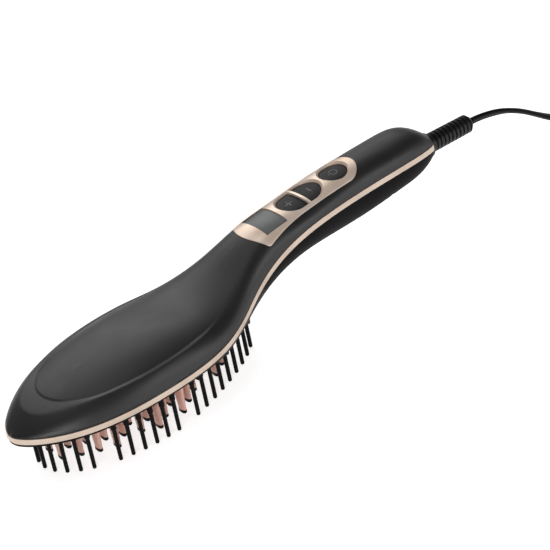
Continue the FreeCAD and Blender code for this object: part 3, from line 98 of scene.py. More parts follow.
# %% [markdown]
# ## The cord
# The mains cord of such a brush is a small flat twin: two insulated strands moulded side by
# side, 4.4 mm wide. It leaves the swivel, drops to the table and runs off. It is about 1.7 m
# long, and what the view leaves out is put away in a coil just beyond, with the plug at its
# end. The cord's line is one smooth curve. A NURBS curve suits it, because its control
# points pull the line without a corner. The coil's points are set round a circle, a little
# outside the wanted turn, because the curve runs inside them.

# %% The line of the cord
CORD_WIDTH = 4.4
EXIT_POINTS = (
    (314.73, 0, 41.22), (324.6, 0, 40.53), (346.5, 0.3, 33.0), (371, 0.9, 14.8),
    (387, 1.6, 4.6), (398.5, 3.1, 2.2), (408.5, 4.7, 2.2), (418, 5.2, 2.2),
)
PLUG_END_POINTS = (
    (433, 5.3, 9.8), (448, 5.6, 8.0), (466, 5.2, 3.6),
    (483, 3.9, 2.7), (499, 1.8, 6.85), (513, 0, 6.85),
)
COIL_CENTRE = (426, -26.4)
COIL_LANES = (31.6, 27.2, 22.8, 18.4)
COIL_LAYERS = (2.2, 6.0, 9.8)
POINTS_PER_TURN = 12
LANE_CHANGE = 7
CURVE_STEPS = 8


def coil_points():
    """The control points of the coil: a lane inward on the lowest layer, then out on the next.

    Each turn keeps its lane up to the step LANE_CHANGE, and moves to the next one after it.
    """
    reach = 1 / (0.75 + 0.25 * math.cos(math.tau / POINTS_PER_TURN))
    lanes = [(radius, COIL_LAYERS[0]) for radius in COIL_LANES]
    lanes += [(radius, COIL_LAYERS[1]) for radius in reversed(COIL_LANES)]
    lanes += [(COIL_LANES[0], COIL_LAYERS[2])] * 2
    points = []
    for (radius, height), (next_radius, next_height) in zip(lanes, lanes[1:]):
        for step in range(POINTS_PER_TURN):
            share = max((step - LANE_CHANGE) / (POINTS_PER_TURN - LANE_CHANGE), 0)
            angle = math.pi / 2 - math.tau * step / POINTS_PER_TURN
            r = reach * (radius + (next_radius - radius) * share)
            points.append((
                COIL_CENTRE[0] + r * math.cos(angle), COIL_CENTRE[1] + r * math.sin(angle),
                height + (next_height - height) * share,
            ))
    return points


def spline_line(name, points):
    """The places along a smooth NURBS curve that is pulled by the given points."""
    curve = bpy.data.curves.new(name, "CURVE")
    curve.dimensions = "3D"
    spline = curve.splines.new("NURBS")
    spline.points.add(len(points) - 1)
    for point, place in zip(spline.points, points):
        point.co = (*at(*place), 1)
    spline.order_u = 3
    spline.use_endpoint_u = True
    spline.resolution_u = CURVE_STEPS
    carrier = bpy.data.objects.new(name, curve)
    bpy.context.scene.collection.objects.link(carrier)
    bpy.context.view_layer.update()
    line = bpy.data.meshes.new_from_object(carrier)
    places = [vertex.co.copy() for vertex in line.vertices]
    bpy.data.objects.remove(carrier)
    bpy.data.meshes.remove(line)
    return places


cord_line = spline_line("cord_line", [*EXIT_POINTS, *coil_points(), *PLUG_END_POINTS])
CORD_LENGTH = sum((b - a).length for a, b in zip(cord_line, cord_line[1:]))
print("the cord's line is", round(CORD_LENGTH, 3), "m long, from", len(cord_line), "points")

# %% [markdown]
# A round bevel on the curve would lose the two strands, so the section is drawn once and
# pulled along the line: each step extrudes the open ring of edges and turns it to the line's
# heading. A flat cord never lies quite flat, so it rolls slowly between the brush and the
# coil, where the turns press it flat again.

# %% The twin cord
STRAND = 2.85
STRAND_POINTS = 11
WAIST_SHARE = 0.82
ROLLS = (
    # metres from the brush, degrees that the cord has rolled there
    (0.0, 115), (0.012, 125), (0.03, 163), (0.045, 176), (0.066, 206), (0.115, 180), (CORD_LENGTH, 180),
)


def new_piece(name, mesh_maker, body):
    """Makes a smooth mesh object from a bmesh, at the origin, that rides on one body."""
    mesh = bpy.data.meshes.new(name)
    mesh_maker.to_mesh(mesh)
    mesh_maker.free()
    for face in mesh.polygons:
        face.use_smooth = True
    piece = bpy.data.objects.new(name, mesh)
    bpy.context.scene.collection.objects.link(piece)
    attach(piece, body)
    return piece


def twin_section():
    """The outline of two strands side by side, in metres, round the cord's centre.

    Each strand's outline ends a little inside the other strand.
    """
    radius = STRAND / 2
    offset = CORD_WIDTH / 2 - radius
    waist = math.acos(offset / radius) * WAIST_SHARE
    outline = []
    for side in (1, -1):
        for step in range(STRAND_POINTS):
            angle = -math.pi + waist + (math.tau - 2 * waist) * step / (STRAND_POINTS - 1)
            outline.append((side * (offset + radius * math.cos(angle)), side * radius * math.sin(angle)))
    return [(x * MM, y * MM) for x, y in outline]


def roll_at(distance):
    """How far the flat cord has rolled, in radians, that many metres from the brush."""
    for (start, before), (end, after) in zip(ROLLS, ROLLS[1:]):
        if distance <= end:
            share = (distance - start) / (end - start)
            return math.radians(before + (after - before) * share * share * (3 - 2 * share))
    return math.radians(ROLLS[-1][1])


def cord_along(line):
    """A bmesh of the twin section pulled along the line, closed at both ends."""
    made = bmesh.new()
    ring = [made.verts.new((x, y, 0)) for x, y in twin_section()]
    edges = [made.edges.new((a, b)) for a, b in zip(ring, ring[1:] + ring[:1])]
    section = [vertex.co.copy() for vertex in ring]
    travelled = 0.0
    for index, place in enumerate(line):
        ahead = (line[min(index + 1, len(line) - 1)] - line[max(index - 1, 0)]).normalized()
        flat = Vector((0, 0, 1)).cross(ahead).normalized()
        rise = ahead.cross(flat)
        turn = Matrix((flat, rise, ahead)).transposed().to_4x4() @ Matrix.Rotation(roll_at(travelled), 4, "Z")
        if index:
            travelled += (place - line[index - 1]).length
            grown = bmesh.ops.extrude_edge_only(made, edges=edges)["geom"]
            edges = [item for item in grown if isinstance(item, bmesh.types.BMEdge)]
            fresh = [item for item in grown if isinstance(item, bmesh.types.BMVert)]
            ring = [
                next(edge.other_vert(old) for edge in old.link_edges if edge.other_vert(old) in fresh)
                for old in ring
            ]
        for vertex, flat_place in zip(ring, section):
            vertex.co = place + turn @ flat_place
    bmesh.ops.holes_fill(made, edges=[edge for edge in made.edges if edge.is_boundary])
    bmesh.ops.recalc_face_normals(made, faces=made.faces)
    return made


cord = new_piece("mains_cord", cord_along(cord_line), "body")
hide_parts("cord", "cord_coil", "plug_lead")
print("twin cord:", len(cord.data.polygons), "faces")

# %% [markdown]
# ## Floor and light
# A pale sheet lies under the brush. It looks white to the camera, to gloss and through
# glass, because it adds light of its own for those rays only, and it keeps the shadow.

# %% Floor
FLOOR_REACH = 4.0
FLOOR_LEVEL = -0.0003
FLOOR_GLOW = 0.75


def node(tree, kind, **values):
    """Adds a shader node and sets its plain values by socket name."""
    made = tree.nodes.new(kind)
    for name, value in values.items():
        made.inputs[name].default_value = value
    return made


def added(tree, one, other):
    """The sum of two values in a shader, up to 1."""
    total = tree.nodes.new("ShaderNodeMath")
    total.operation = "ADD"
    total.use_clamp = True
    tree.links.new(one, total.inputs[0])
    tree.links.new(other, total.inputs[1])
    return total.outputs[0]


def seen_directly(tree):
    """A mask of rays from the camera, and of mirror and glass rays."""
    rays = tree.nodes.new("ShaderNodeLightPath").outputs
    seen_or_mirrored = added(tree, rays["Is Camera Ray"], rays["Is Glossy Ray"])
    return added(tree, seen_or_mirrored, rays["Is Transmission Ray"])


paper = bpy.data.materials.new("pale_floor")
paper.use_nodes = True
tree = paper.node_tree
paper_shader = tree.nodes["Principled BSDF"]
paper_shader.inputs["Base Color"].default_value = (0.86, 0.86, 0.86, 1)
paper_shader.inputs["Roughness"].default_value = 0.9
paper_shader.inputs["Specular IOR Level"].default_value = 0.0
paper_shader.inputs["Emission Color"].default_value = (1, 1, 1, 1)
glow = tree.nodes.new("ShaderNodeMath")
glow.operation = "MULTIPLY"
glow.inputs[1].default_value = FLOOR_GLOW
tree.links.new(seen_directly(tree), glow.inputs[0])
tree.links.new(glow.outputs[0], paper_shader.inputs["Emission Strength"])

sheet = bmesh.new()
bmesh.ops.create_grid(sheet, x_segments=1, y_segments=1, size=FLOOR_REACH)
bmesh.ops.translate(sheet, verts=sheet.verts, vec=(0, 0, FLOOR_LEVEL))
floor_mesh = bpy.data.meshes.new("floor")
sheet.to_mesh(floor_mesh)
sheet.free()
floor = bpy.data.objects.new("floor", floor_mesh)
floor.data.materials.append(paper)
bpy.context.scene.collection.objects.link(floor)
print("floor ready")

# %% [markdown]
# Soft lamps light the brush. A small near one behind it draws the sheen on the head's
# plateau. Large ones above and behind fill the top, and two low, wide ones light the nose
# and the near side. The world is white to the camera and gives the brush only a little light.

# %% Lamps and world
WORLD_LIGHT = 0.12
WORLD_SEEN = 1.0
LAMP_TABLE = (
    # name, place, the place it looks at, width and height, power
    ("far_side", (0.20, 0.66, 0.52), (-0.06, 0, 0.04), (0.75, 0.42), 2.0),
    ("back_right", (1.2, 1.4, 1.1), (0, 0, 0.03), (1.6, 1.0), 3),
    ("overhead", (-0.15, 0.2, 1.4), (0, 0, 0.02), (0.9, 0.9), 3),
    ("nose_side", (-1.0, -0.85, 0.33), (-0.12, 0, 0.03), (0.8, 0.35), 7.5),
    ("near_right", (0.5, -1.1, 0.24), (-0.08, 0, 0.03), (0.8, 0.2), 3.5),
)

world = bpy.data.worlds.new("studio")
bpy.context.scene.world = world
world.use_nodes = True
tree = world.node_tree
surround = tree.nodes["Background"]
surround.inputs["Color"].default_value = (1, 1, 1, 1)
strength = tree.nodes.new("ShaderNodeMapRange")
strength.inputs["To Min"].default_value = WORLD_LIGHT
strength.inputs["To Max"].default_value = WORLD_SEEN
path = tree.nodes.new("ShaderNodeLightPath")
tree.links.new(path.outputs["Is Camera Ray"], strength.inputs["Value"])
tree.links.new(strength.outputs[0], surround.inputs["Strength"])


def softbox(name, place, target, size, power):
    """A rectangular lamp that looks at the target."""
    light = bpy.data.lights.new(name, "AREA")
    light.shape = "RECTANGLE"
    light.size, light.size_y = size
    light.energy = power
    lamp = bpy.data.objects.new(name, light)
    lamp.location = place
    lamp.rotation_euler = (Vector(target) - Vector(place)).to_track_quat("-Z", "Y").to_euler()
    bpy.context.scene.collection.objects.link(lamp)


for row in LAMP_TABLE:
    softbox(*row)
print(len(LAMP_TABLE), "lamps")

# %% [markdown]
# ## Finishes
# Every plastic, coating and metal here is a Principled surface with shared effects. The
# first, drift, lets a colour wander between two close tones over a few centimetres, as
# pigment and light handling do. The second, grain, is the fine roughness of a moulded or
# coated surface: a small bump and an uneven gloss. A third, brushing, stretches the grain
# along the brush for metal that was rolled or polished. They are node groups, so that each
# finish can place them with its own values.

# %% Shared effects
def new_group(name, inputs, outputs):
    """A shader node group with named float, colour or vector sockets."""
    group = bpy.data.node_groups.new(name, "ShaderNodeTree")
    for label, kind, default in inputs:
        socket = group.interface.new_socket(label, in_out="INPUT", socket_type=kind)
        socket.default_value = default
    for label, kind in outputs:
        group.interface.new_socket(label, in_out="OUTPUT", socket_type=kind)
    return group, group.nodes.new("NodeGroupInput"), group.nodes.new("NodeGroupOutput")


def drift_group():
    """Colour: wanders between two tones over the piece."""
    group, inward, outward = new_group(
        "colour_drift",
        [
            ("Tone", "NodeSocketColor", (0.5, 0.5, 0.5, 1)),
            ("Other Tone", "NodeSocketColor", (0.4, 0.4, 0.4, 1)),
            ("Scale", "NodeSocketFloat", 40.0),
        ],
        [("Color", "NodeSocketColor")],
    )
    place = group.nodes.new("ShaderNodeTexCoord")
    cloud = node(group, "ShaderNodeTexNoise", Detail=3.0, Roughness=0.55)
    ramp = node(group, "ShaderNodeMapRange", **{"From Min": 0.35, "From Max": 0.65})
    blend = group.nodes.new("ShaderNodeMix")
    blend.data_type = "RGBA"
    group.links.new(place.outputs["Object"], cloud.inputs["Vector"])
    group.links.new(inward.outputs["Scale"], cloud.inputs["Scale"])
    group.links.new(cloud.outputs[0], ramp.inputs["Value"])
    # A mix node's colours are its sockets 6 and 7 going in, and its socket 2 coming out.
    group.links.new(ramp.outputs[0], blend.inputs[0])
    group.links.new(inward.outputs["Tone"], blend.inputs[6])
    group.links.new(inward.outputs["Other Tone"], blend.inputs[7])
    group.links.new(blend.outputs[2], outward.inputs["Color"])
    return group


def grain_group(name, stretch):
    """Normal and Roughness of a fine grain, stretched by the given scale of each axis."""
    group, inward, outward = new_group(
        name,
        [
            ("Scale", "NodeSocketFloat", 1500.0), ("Depth", "NodeSocketFloat", 0.00002),
            ("Gloss Low", "NodeSocketFloat", 0.35), ("Gloss High", "NodeSocketFloat", 0.45),
        ],
        [("Normal", "NodeSocketVector"), ("Roughness", "NodeSocketFloat")],
    )
    place = group.nodes.new("ShaderNodeTexCoord")
    mapping = group.nodes.new("ShaderNodeMapping")
    mapping.inputs["Scale"].default_value = stretch
    grain = node(group, "ShaderNodeTexNoise", Detail=2.0, Roughness=0.5)
    patch = node(group, "ShaderNodeTexNoise", Scale=60.0, Detail=3.0, Roughness=0.6)
    bump = node(group, "ShaderNodeBump", Strength=1.0)
    gloss = node(group, "ShaderNodeMapRange", **{"From Min": 0.3, "From Max": 0.7})
    group.links.new(place.outputs["Object"], mapping.inputs["Vector"])
    group.links.new(mapping.outputs[0], grain.inputs["Vector"])
    group.links.new(place.outputs["Object"], patch.inputs["Vector"])
    group.links.new(inward.outputs["Scale"], grain.inputs["Scale"])
    group.links.new(grain.outputs[0], bump.inputs["Height"])
    group.links.new(inward.outputs["Depth"], bump.inputs["Distance"])
    group.links.new(patch.outputs[0], gloss.inputs["Value"])
    group.links.new(inward.outputs["Gloss Low"], gloss.inputs["To Min"])
    group.links.new(inward.outputs["Gloss High"], gloss.inputs["To Max"])
    group.links.new(bump.outputs[0], outward.inputs["Normal"])
    group.links.new(gloss.outputs[0], outward.inputs["Roughness"])
    return group


DRIFT = drift_group()
GRAIN = grain_group("fine_grain", (1, 1, 1))
BRUSHED = grain_group("brushed_grain", (0.04, 1, 1))
print("effects:", DRIFT.name, GRAIN.name, BRUSHED.name)

# %% [markdown]
# One helper lays these effects into a material. Colours are given as they would be mixed in
# paint, in the usual 0 to 255 steps, and turned to light values here. The grain's depth is
# given in thousandths of a millimetre.

# %% Making a finish
MICRON = 0.000001
METAL = "Metallic"
SHINE = "Specular IOR Level"


def paint(red, green, blue):
    """A colour in 0 to 255 steps as linear light."""
    shades = []
    for value in (red, green, blue):
        value /= 255
        shades.append(value / 12.92 if value <= 0.04045 else ((value + 0.055) / 1.055) ** 2.4)
    return (*shades, 1)


def add_group(tree, group, values):
    """Places a shared effect in a material's nodes, with its own values."""
    placed = tree.nodes.new("ShaderNodeGroup")
    placed.node_tree = group
    for socket, value in values.items():
        placed.inputs[socket].default_value = value
    return placed


def finish(name, tone, other, gloss, drift, grain, depth, texture, plain):
    """A Principled finish with drifting colour and grain. plain sets constant sockets."""
    material = bpy.data.materials.new(name)
    material.use_nodes = True
    tree = material.node_tree
    shader = tree.nodes["Principled BSDF"]
    colour = add_group(tree, DRIFT, {"Tone": paint(*tone), "Other Tone": paint(*other), "Scale": drift})
    feel = add_group(tree, texture, {
        "Scale": grain, "Depth": depth * MICRON, "Gloss Low": gloss[0], "Gloss High": gloss[1],
    })
    tree.links.new(colour.outputs["Color"], shader.inputs["Base Color"])
    tree.links.new(feel.outputs["Normal"], shader.inputs["Normal"])
    tree.links.new(feel.outputs["Roughness"], shader.inputs["Roughness"])
    for socket, value in plain.items():
        shader.inputs[socket].default_value = value
    return material


FINISH_TABLE = (
    # name, tone, other tone, roughness, scale of drift, scale and depth of grain, texture, plain values
    ("charcoal_shell", (27, 27, 28), (31, 31, 32), (0.42, 0.48), 30, 1400, 12, GRAIN, {}),
    # The bottom shell is the same plastic as the top shell; its darker tone is painted shade for the lower
    # side of the brush.
    ("charcoal_base_painted_shade", (21, 19, 19), (25, 23, 23), (0.50, 0.58), 30, 1400, 12, GRAIN, {SHINE: 0.04}),
    ("champagne_trim", (216, 197, 181), (202, 182, 166), (0.30, 0.38), 60, 1800, 5, BRUSHED, {METAL: 0.7}),
    ("rose_gold_panel", (248, 230, 215), (236, 209, 186), (0.30, 0.38), 50, 1600, 5, BRUSHED, {METAL: 0.4}),
    ("key_plastic", (34, 32, 33), (40, 38, 39), (0.46, 0.54), 80, 1800, 8, GRAIN, {SHINE: 0.22}),
    ("key_print", (114, 112, 110), (104, 102, 100), (0.45, 0.55), 200, 2500, 4, GRAIN, {}),
    ("display_glass", (101, 103, 103), (107, 109, 109), (0.36, 0.44), 40, 2000, 2, GRAIN, {}),
    ("heatproof_black", (11, 11, 11), (15, 15, 15), (0.40, 0.50), 90, 1600, 10, GRAIN, {SHINE: 0.06}),
    # The heel peg's dark brown is painted shade: the rose of the teeth darkened, as the peg stands in the
    # shade of the neck.
    ("heel_rose_painted_shade", (70, 60, 58), (60, 51, 49), (0.40, 0.50), 120, 1600, 10, GRAIN, {}),
    ("rose_coating", (243, 193, 176), (233, 178, 160), (0.28, 0.38), 80, 1600, 8, GRAIN, {METAL: 0.1}),
    ("relief_rubber", (13, 13, 13), (18, 18, 18), (0.42, 0.52), 90, 1500, 14, GRAIN, {SHINE: 0.35}),
    ("cord_sheath", (10, 10, 10), (14, 14, 14), (0.38, 0.46), 60, 1600, 8, GRAIN, {SHINE: 0.12}),
    ("nylon_black", (20, 20, 21), (26, 26, 27), (0.40, 0.50), 90, 1500, 12, GRAIN, {}),
    ("white_ceramic", (232, 230, 224), (220, 217, 208), (0.45, 0.6), 80, 2500, 12, GRAIN, {}),
    ("amber_mica", (196, 170, 118), (176, 150, 100), (0.25, 0.45), 120, 900, 20, GRAIN, {}),
    ("plated_steel", (196, 198, 202), (180, 182, 186), (0.22, 0.34), 120, 1600, 6, BRUSHED, {METAL: 1.0}),
    ("nickel_pin", (208, 206, 200), (196, 194, 188), (0.16, 0.26), 120, 1800, 4, GRAIN, {METAL: 1.0}),
    ("board_green", (22, 82, 52), (28, 98, 60), (0.35, 0.5), 300, 1200, 10, GRAIN, {}),
    ("part_black", (34, 34, 36), (42, 42, 44), (0.4, 0.55), 160, 1800, 10, GRAIN, {}),
    ("terminal_grey", (186, 188, 186), (172, 174, 172), (0.4, 0.55), 120, 1600, 10, GRAIN, {}),
    ("lcd_silver", (166, 172, 166), (152, 158, 152), (0.12, 0.2), 60, 2000, 2, GRAIN, {}),
    ("lead_white", (226, 224, 218), (212, 210, 204), (0.35, 0.45), 90, 1600, 10, GRAIN, {}),
    ("sprung_brass", (214, 178, 104), (198, 160, 88), (0.2, 0.32), 120, 1600, 5, BRUSHED, {METAL: 1.0}),
)
FINISHES = {row[0]: finish(*row) for row in FINISH_TABLE}
print(len(FINISHES), "finishes mixed")

# %% [markdown]
# Every piece of the solid model gets a finish, also those that the shells hide.

# %% Which piece has which finish
PIECE_FINISH = {
    "charcoal_shell": ("top_shell",),
    "charcoal_base_painted_shade": ("bottom_shell",),
    "champagne_trim": ("trim_band",),
    "rose_gold_panel": ("control_panel",),
    "key_plastic": ("power_button", "plus_button", "minus_button"),
    "display_glass": ("display_window",),
    "heatproof_black": ("bristle_frame", "outer_bristles", "tooth_caps"),
    "heel_rose_painted_shade": ("heel_peg",),
    "rose_coating": ("heating_plate", "heating_teeth"),
    "relief_rubber": ("strain_relief", "cord_tie"),
    "cord_sheath": ("cord", "cord_coil", "plug_lead", "plug_body"),
    "nylon_black": ("swivel_collar", "contact_block"),
    "white_ceramic": ("ceramic_heater", "thermistor"),
    "amber_mica": ("mica_sheet",),
    "plated_steel": (
        "heater_clamp", "clamp_screws", "plate_screws", "board_screws", "shell_screws", "thermal_fuse",
    ),
    "nickel_pin": ("plug_pins",),
    "board_green": ("control_board", "power_board"),
    "part_black": ("button_switches", "mains_capacitor", "triac"),
    "terminal_grey": ("terminal_block",),
    "lcd_silver": ("lcd_module",),
    "lead_white": ("heater_leads", "mains_leads"),
    "sprung_brass": ("slip_rings", "contact_springs"),
}


def give_finish(piece, name):
    """Puts one finish on all faces of a piece."""
    piece.data.materials.clear()
    piece.data.materials.append(FINISHES[name])


for finish_name, names in PIECE_FINISH.items():
    for piece_name in names:
        give_finish(NODES[piece_name], finish_name)
give_finish(cord, "cord_sheath")
unfinished = set(NODES) - {name for names in PIECE_FINISH.values() for name in names}
print("pieces without a finish:", sorted(unfinished))

# %% [markdown]
# The outer bristles are moulded in soft nylon, and the teeth carry a thick baked coating, so
# both come out a little stouter than their bare cores. A weld joins the triangles of such a
# solid, and a displacement then moves its skin outwards by a fifth of a millimetre. Moving
# the triangles one by one would open gaps between them.

# %% Stouter bristles and teeth
COATING = 0.2
WELD_REACH = 0.002

for piece_name in ("outer_bristles", "heating_teeth", "tooth_caps"):
    join = NODES[piece_name].modifiers.new("join_skin", "WELD")
    join.merge_threshold = WELD_REACH * MM
    swell = NODES[piece_name].modifiers.new("coating", "DISPLACE")
    swell.strength = COATING * MM
    swell.mid_level = 0.0
print("bristles and teeth made stouter by", COATING, "mm all round")

# %% [markdown]
# ## The creased head
# The top of the head is one moulding with a crisp crease: a steep side wall, then a ledge
# that is broad at the nose and narrows along the sides, then a low plateau. It could be
# sculpted by hand, but a regular skin over the shell is surer. The skin is a grid whose
# columns run from the trim over the wall to the middle line. Each point is dropped on the
# shell along a ray, and the crease then lifts the rows, by a little over a millimetre at most.

# %% The lines of the crease
CREASE = (
    # Millimetres from the nose and from the middle line: the crease, then the ledge's inner
    # edge, then where the column ends on the middle line. Last, the strength of the crease.
    (12.4, 0.0, 23.0, 0.0, 38.0, 1.0),
    (13.0, 4.2, 23.1, 2.6, 39.2, 1.0),
    (15.0, 8.7, 23.7, 5.8, 41.6, 1.0),
    (19.3, 13.3, 25.4, 9.8, 45.2, 1.0),
    (25.0, 17.3, 28.7, 14.0, 49.8, 1.0),
    (31.2, 20.6, 33.4, 18.2, 54.8, 1.0),
    (38.0, 23.4, 39.1, 21.7, 60.2, 1.0),
    (46.0, 26.0, 46.7, 24.4, 66.0, 1.0),
    (56.0, 28.3, 56.4, 26.6, 72.4, 1.0),
    (66.5, 29.8, 66.7, 28.0, 79.0, 1.0),
    (77.0, 30.3, 77.0, 28.5, 86.0, 1.0),
    (87.0, 30.0, 86.9, 28.3, 93.0, 0.9),
    (97.0, 28.9, 96.8, 27.3, 100.4, 0.75),
    (107.0, 27.0, 106.7, 25.6, 108.0, 0.4),
    (118.5, 23.4, 118.0, 22.2, 118.0, 0.05),
    (131.0, 18.0, 130.5, 16.9, 130.5, 0.0),
    (144.0, 13.0, 143.7, 11.9, 143.6, 0.0),
)
COLUMNS = 110


def between(rows, share):
    """The values of the table a share of the way down it, on a smooth line.

    Ahead of the first row comes the mirror image of the second, as the crease crosses the middle.
    """
    spot = min(max(share, 0), 0.999999) * (len(rows) - 1)
    index = int(spot)
    part = spot - index
    before, a, b, after = (rows[min(max(index + step, 0), len(rows) - 1)] for step in (-1, 0, 1, 2))
    if index == 0:
        before = (rows[1][0], -rows[1][1], rows[1][2], -rows[1][3], *rows[1][4:])
    return [
        0.5 * (
            2 * q + (r - p) * part + (2 * p - 5 * q + 4 * r - s) * part ** 2
            + (3 * q - p - 3 * r + s) * part ** 3
        )
        for p, q, r, s in zip(before, a, b, after)
    ]


shell_surface = BVHTree.FromObject(NODES["top_shell"], bpy.context.evaluated_depsgraph_get())


def shell_hit(start, heading):
    """Where a ray first meets the top shell."""
    place = shell_surface.ray_cast(start, heading)[0]
    if place is None:
        raise RuntimeError(f"no shell under {tuple(start)}")
    return place


print("crease from", CREASE[0][:2], "to", CREASE[-1][:2])

# %% [markdown]
# The crease lifts each row of the skin by its own amount. The wall bends outward towards the
# crease, the ledge sinks from it, and where the ledge is wide it ends at a low step up to the
# plateau. The rows are given as shares of the way: from the trim to the crease, across the
# ledge, and from the plateau's edge to the middle line.

# %% The rows of the skin
WALL_ROWS = (0.0, 0.12, 0.25, 0.38, 0.5, 0.61, 0.71, 0.8, 0.87, 0.93, 0.97)
LEDGE_ROWS = (0.0, 0.06, 0.14, 0.26, 0.4, 0.55, 0.7, 0.84, 0.94)
PLATEAU_ROWS = (
    0.0, 0.018, 0.036, 0.06, 0.09, 0.13, 0.18, 0.24, 0.31,
    0.38, 0.46, 0.54, 0.62, 0.7, 0.78, 0.86, 0.93, 1.0,
)
ROWS = [("wall", share) for share in WALL_ROWS]
ROWS += [("ledge", share) for share in LEDGE_ROWS]
ROWS += [("plateau", share) for share in PLATEAU_ROWS]
RIDGE = 1.15
WALL_BEND = 2.4
LEDGE_DROP = 1.1
PLATEAU_RISE = 0.28
RISE_SHARE = PLATEAU_ROWS[2]
STEP_STARTS, STEP_FULL = 2.0, 7.0
SKIN = 0.05


def skin_lift(row, share, strength, ledge):
    """Millimetres that the crease lifts a row of one column, whose ledge is that wide."""
    if row == "wall":
        return RIDGE * strength * share ** WALL_BEND
    if row == "ledge":
        return strength * (RIDGE - LEDGE_DROP * share)
    wide = min(max((ledge - STEP_STARTS) / (STEP_FULL - STEP_STARTS), 0), 1)
    return strength * (RIDGE - LEDGE_DROP + PLATEAU_RISE * min(share / RISE_SHARE, 1) * wide)


print(len(ROWS), "rows of", 2 * COLUMNS + 1, "points")

# %% [markdown]
# Rays along the level reach the wall, where the shell is steep, and rays from above reach the
# top, where it is flat. The lowest row starts just above the trim band, whose top edge is
# read from its own points, a few millimetres at a time.

# %% Points on the shell
DOWN = Vector((0, 0, -1))
RAY_HEIGHT = 90
RAY_DISTANCE = 30
BAND_STEP = 3
BAND_REACH = 3
ABOVE_BAND = 0.55
HEADING_STEP = 0.004

trim_low, trim_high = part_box("trim_band")
BAND_TOPS = {}
for vertex in NODES["trim_band"].data.vertices:
    spot = round((vertex.co.x - NOSE_X) / MM / BAND_STEP)
    BAND_TOPS[spot] = max(BAND_TOPS.get(spot, 0), vertex.co.z)


def edge_height(along):
    """Just above the trim band's top edge, beside that place."""
    spot = round(along / BAND_STEP)
    near = [BAND_TOPS[key] for key in range(spot - BAND_REACH, spot + BAND_REACH + 1) if key in BAND_TOPS]
    return sum(near) / len(near) + ABOVE_BAND * MM


def column_frame(share):
    """The crease point and inner edge of a column, its end, its strength and its way inward."""
    along, across, inner_along, inner_across, middle, strength = between(CREASE, share)
    ahead = between(CREASE, min(share + HEADING_STEP, 1))
    behind = between(CREASE, max(share - HEADING_STEP, 0)) if share else (ahead[0], -ahead[1])
    heading = Vector((ahead[0] - behind[0], ahead[1] - behind[1], 0)).normalized()
    inward = Vector((heading.y, -heading.x, 0))
    edge = Vector((inner_along, inner_across, 0))
    return Vector((along, across, 0)), edge, middle, max(min(strength, 1), 0), inward


def skin_point(row, part, column):
    """A point of the skin before it is lifted, its column's strength and the width of its ledge.

    Columns count from one side round the nose to the other.
    """
    side = -1 if column < 0 else 1
    start, edge, middle, strength, inward = column_frame(abs(column) / COLUMNS)
    if row == "wall":
        crease = shell_hit(at(start.x, start.y, RAY_HEIGHT), DOWN)
        outside = Vector((crease.x, crease.y, 0)) - inward * (RAY_DISTANCE * MM)
        trim = shell_hit(Vector((outside.x, outside.y, edge_height(start.x))), inward)
        height = trim.z + (crease.z - trim.z) * part
        place = shell_hit(Vector((outside.x, outside.y, height)), inward)
    else:
        if row == "ledge":
            spot = start + (edge - start) * part
        else:
            spot = edge + (Vector((middle, 0, 0)) - edge) * part
        place = shell_hit(at(spot.x, max(spot.y, 0), RAY_HEIGHT), DOWN)
    return Vector((place.x, side * place.y, place.z)), strength, (edge - start).length


print("trim band from", round(trim_low.x, 4), "to", round(trim_high.x, 4))

# %% [markdown]
# The grid is smoothed before it is lifted, so that the rays leave no ripples and the crease
# stays crisp. At the rear the skin sinks a little into the shell, so that its edge doesn't
# show. A thin inner wall closes it.

# %% The skin of the head
SMOOTHING_ROUNDS = 6
REAR_STARTS = 0.93
REAR_SINK = 0.12
MERGE_REACH = 0.02
INNER_WALL = 0.4


def head_skin():
    """The grid of the head's skin, dropped on the shell, smoothed and creased."""
    made = bmesh.new()
    bmesh.ops.create_grid(made, x_segments=2 * COLUMNS, y_segments=len(ROWS) - 1, size=1.0)
    made.verts.ensure_lookup_table()
    width = 2 * COLUMNS + 1
    lifts = {}
    for vertex in made.verts:
        row, part = ROWS[vertex.index // width]
        vertex.co, strength, ledge = skin_point(row, part, vertex.index % width - COLUMNS)
        lifts[vertex] = skin_lift(row, part, strength, ledge) + SKIN
    inner = [
        vertex for vertex in made.verts
        if 0 < vertex.index % width < width - 1 and 0 < vertex.index // width < len(ROWS) - 1
    ]
    for _ in range(SMOOTHING_ROUNDS):
        bmesh.ops.smooth_vert(
            made, verts=inner, factor=0.5, use_axis_x=True, use_axis_y=True, use_axis_z=True,
        )
    made.normal_update()
    if sum(vertex.normal.z for vertex in made.verts) < 0:
        bmesh.ops.reverse_faces(made, faces=made.faces)
        made.normal_update()
    normals = {vertex: vertex.normal.copy() for vertex in made.verts}
    for vertex, lift in lifts.items():
        from_nose = abs(vertex.index % width - COLUMNS)
        rear = (from_nose - COLUMNS * REAR_STARTS) / (COLUMNS * (1 - REAR_STARTS))
        vertex.co += normals[vertex] * MM * (lift - REAR_SINK * min(max(rear, 0), 1))
    bmesh.ops.remove_doubles(made, verts=made.verts, dist=MERGE_REACH * MM)
    made.normal_update()
    return made


head = new_piece("creased_head", head_skin(), "body")
wall = head.modifiers.new("inner_wall", "SOLIDIFY")
wall.thickness = INNER_WALL * MM
wall.offset = -1.0
give_finish(head, "charcoal_shell")
print("head skin:", len(head.data.polygons), "faces")

# %% [markdown]
# ## Edges that catch the light
# A moulded or stamped edge is never knife sharp: a narrow chamfer gives the bright line by
# which an eye reads the shape. The solid model's edges are sharp, so these pieces are taken
# as copies, their triangles joined, and every edge that turns sharply gets a small bevel.

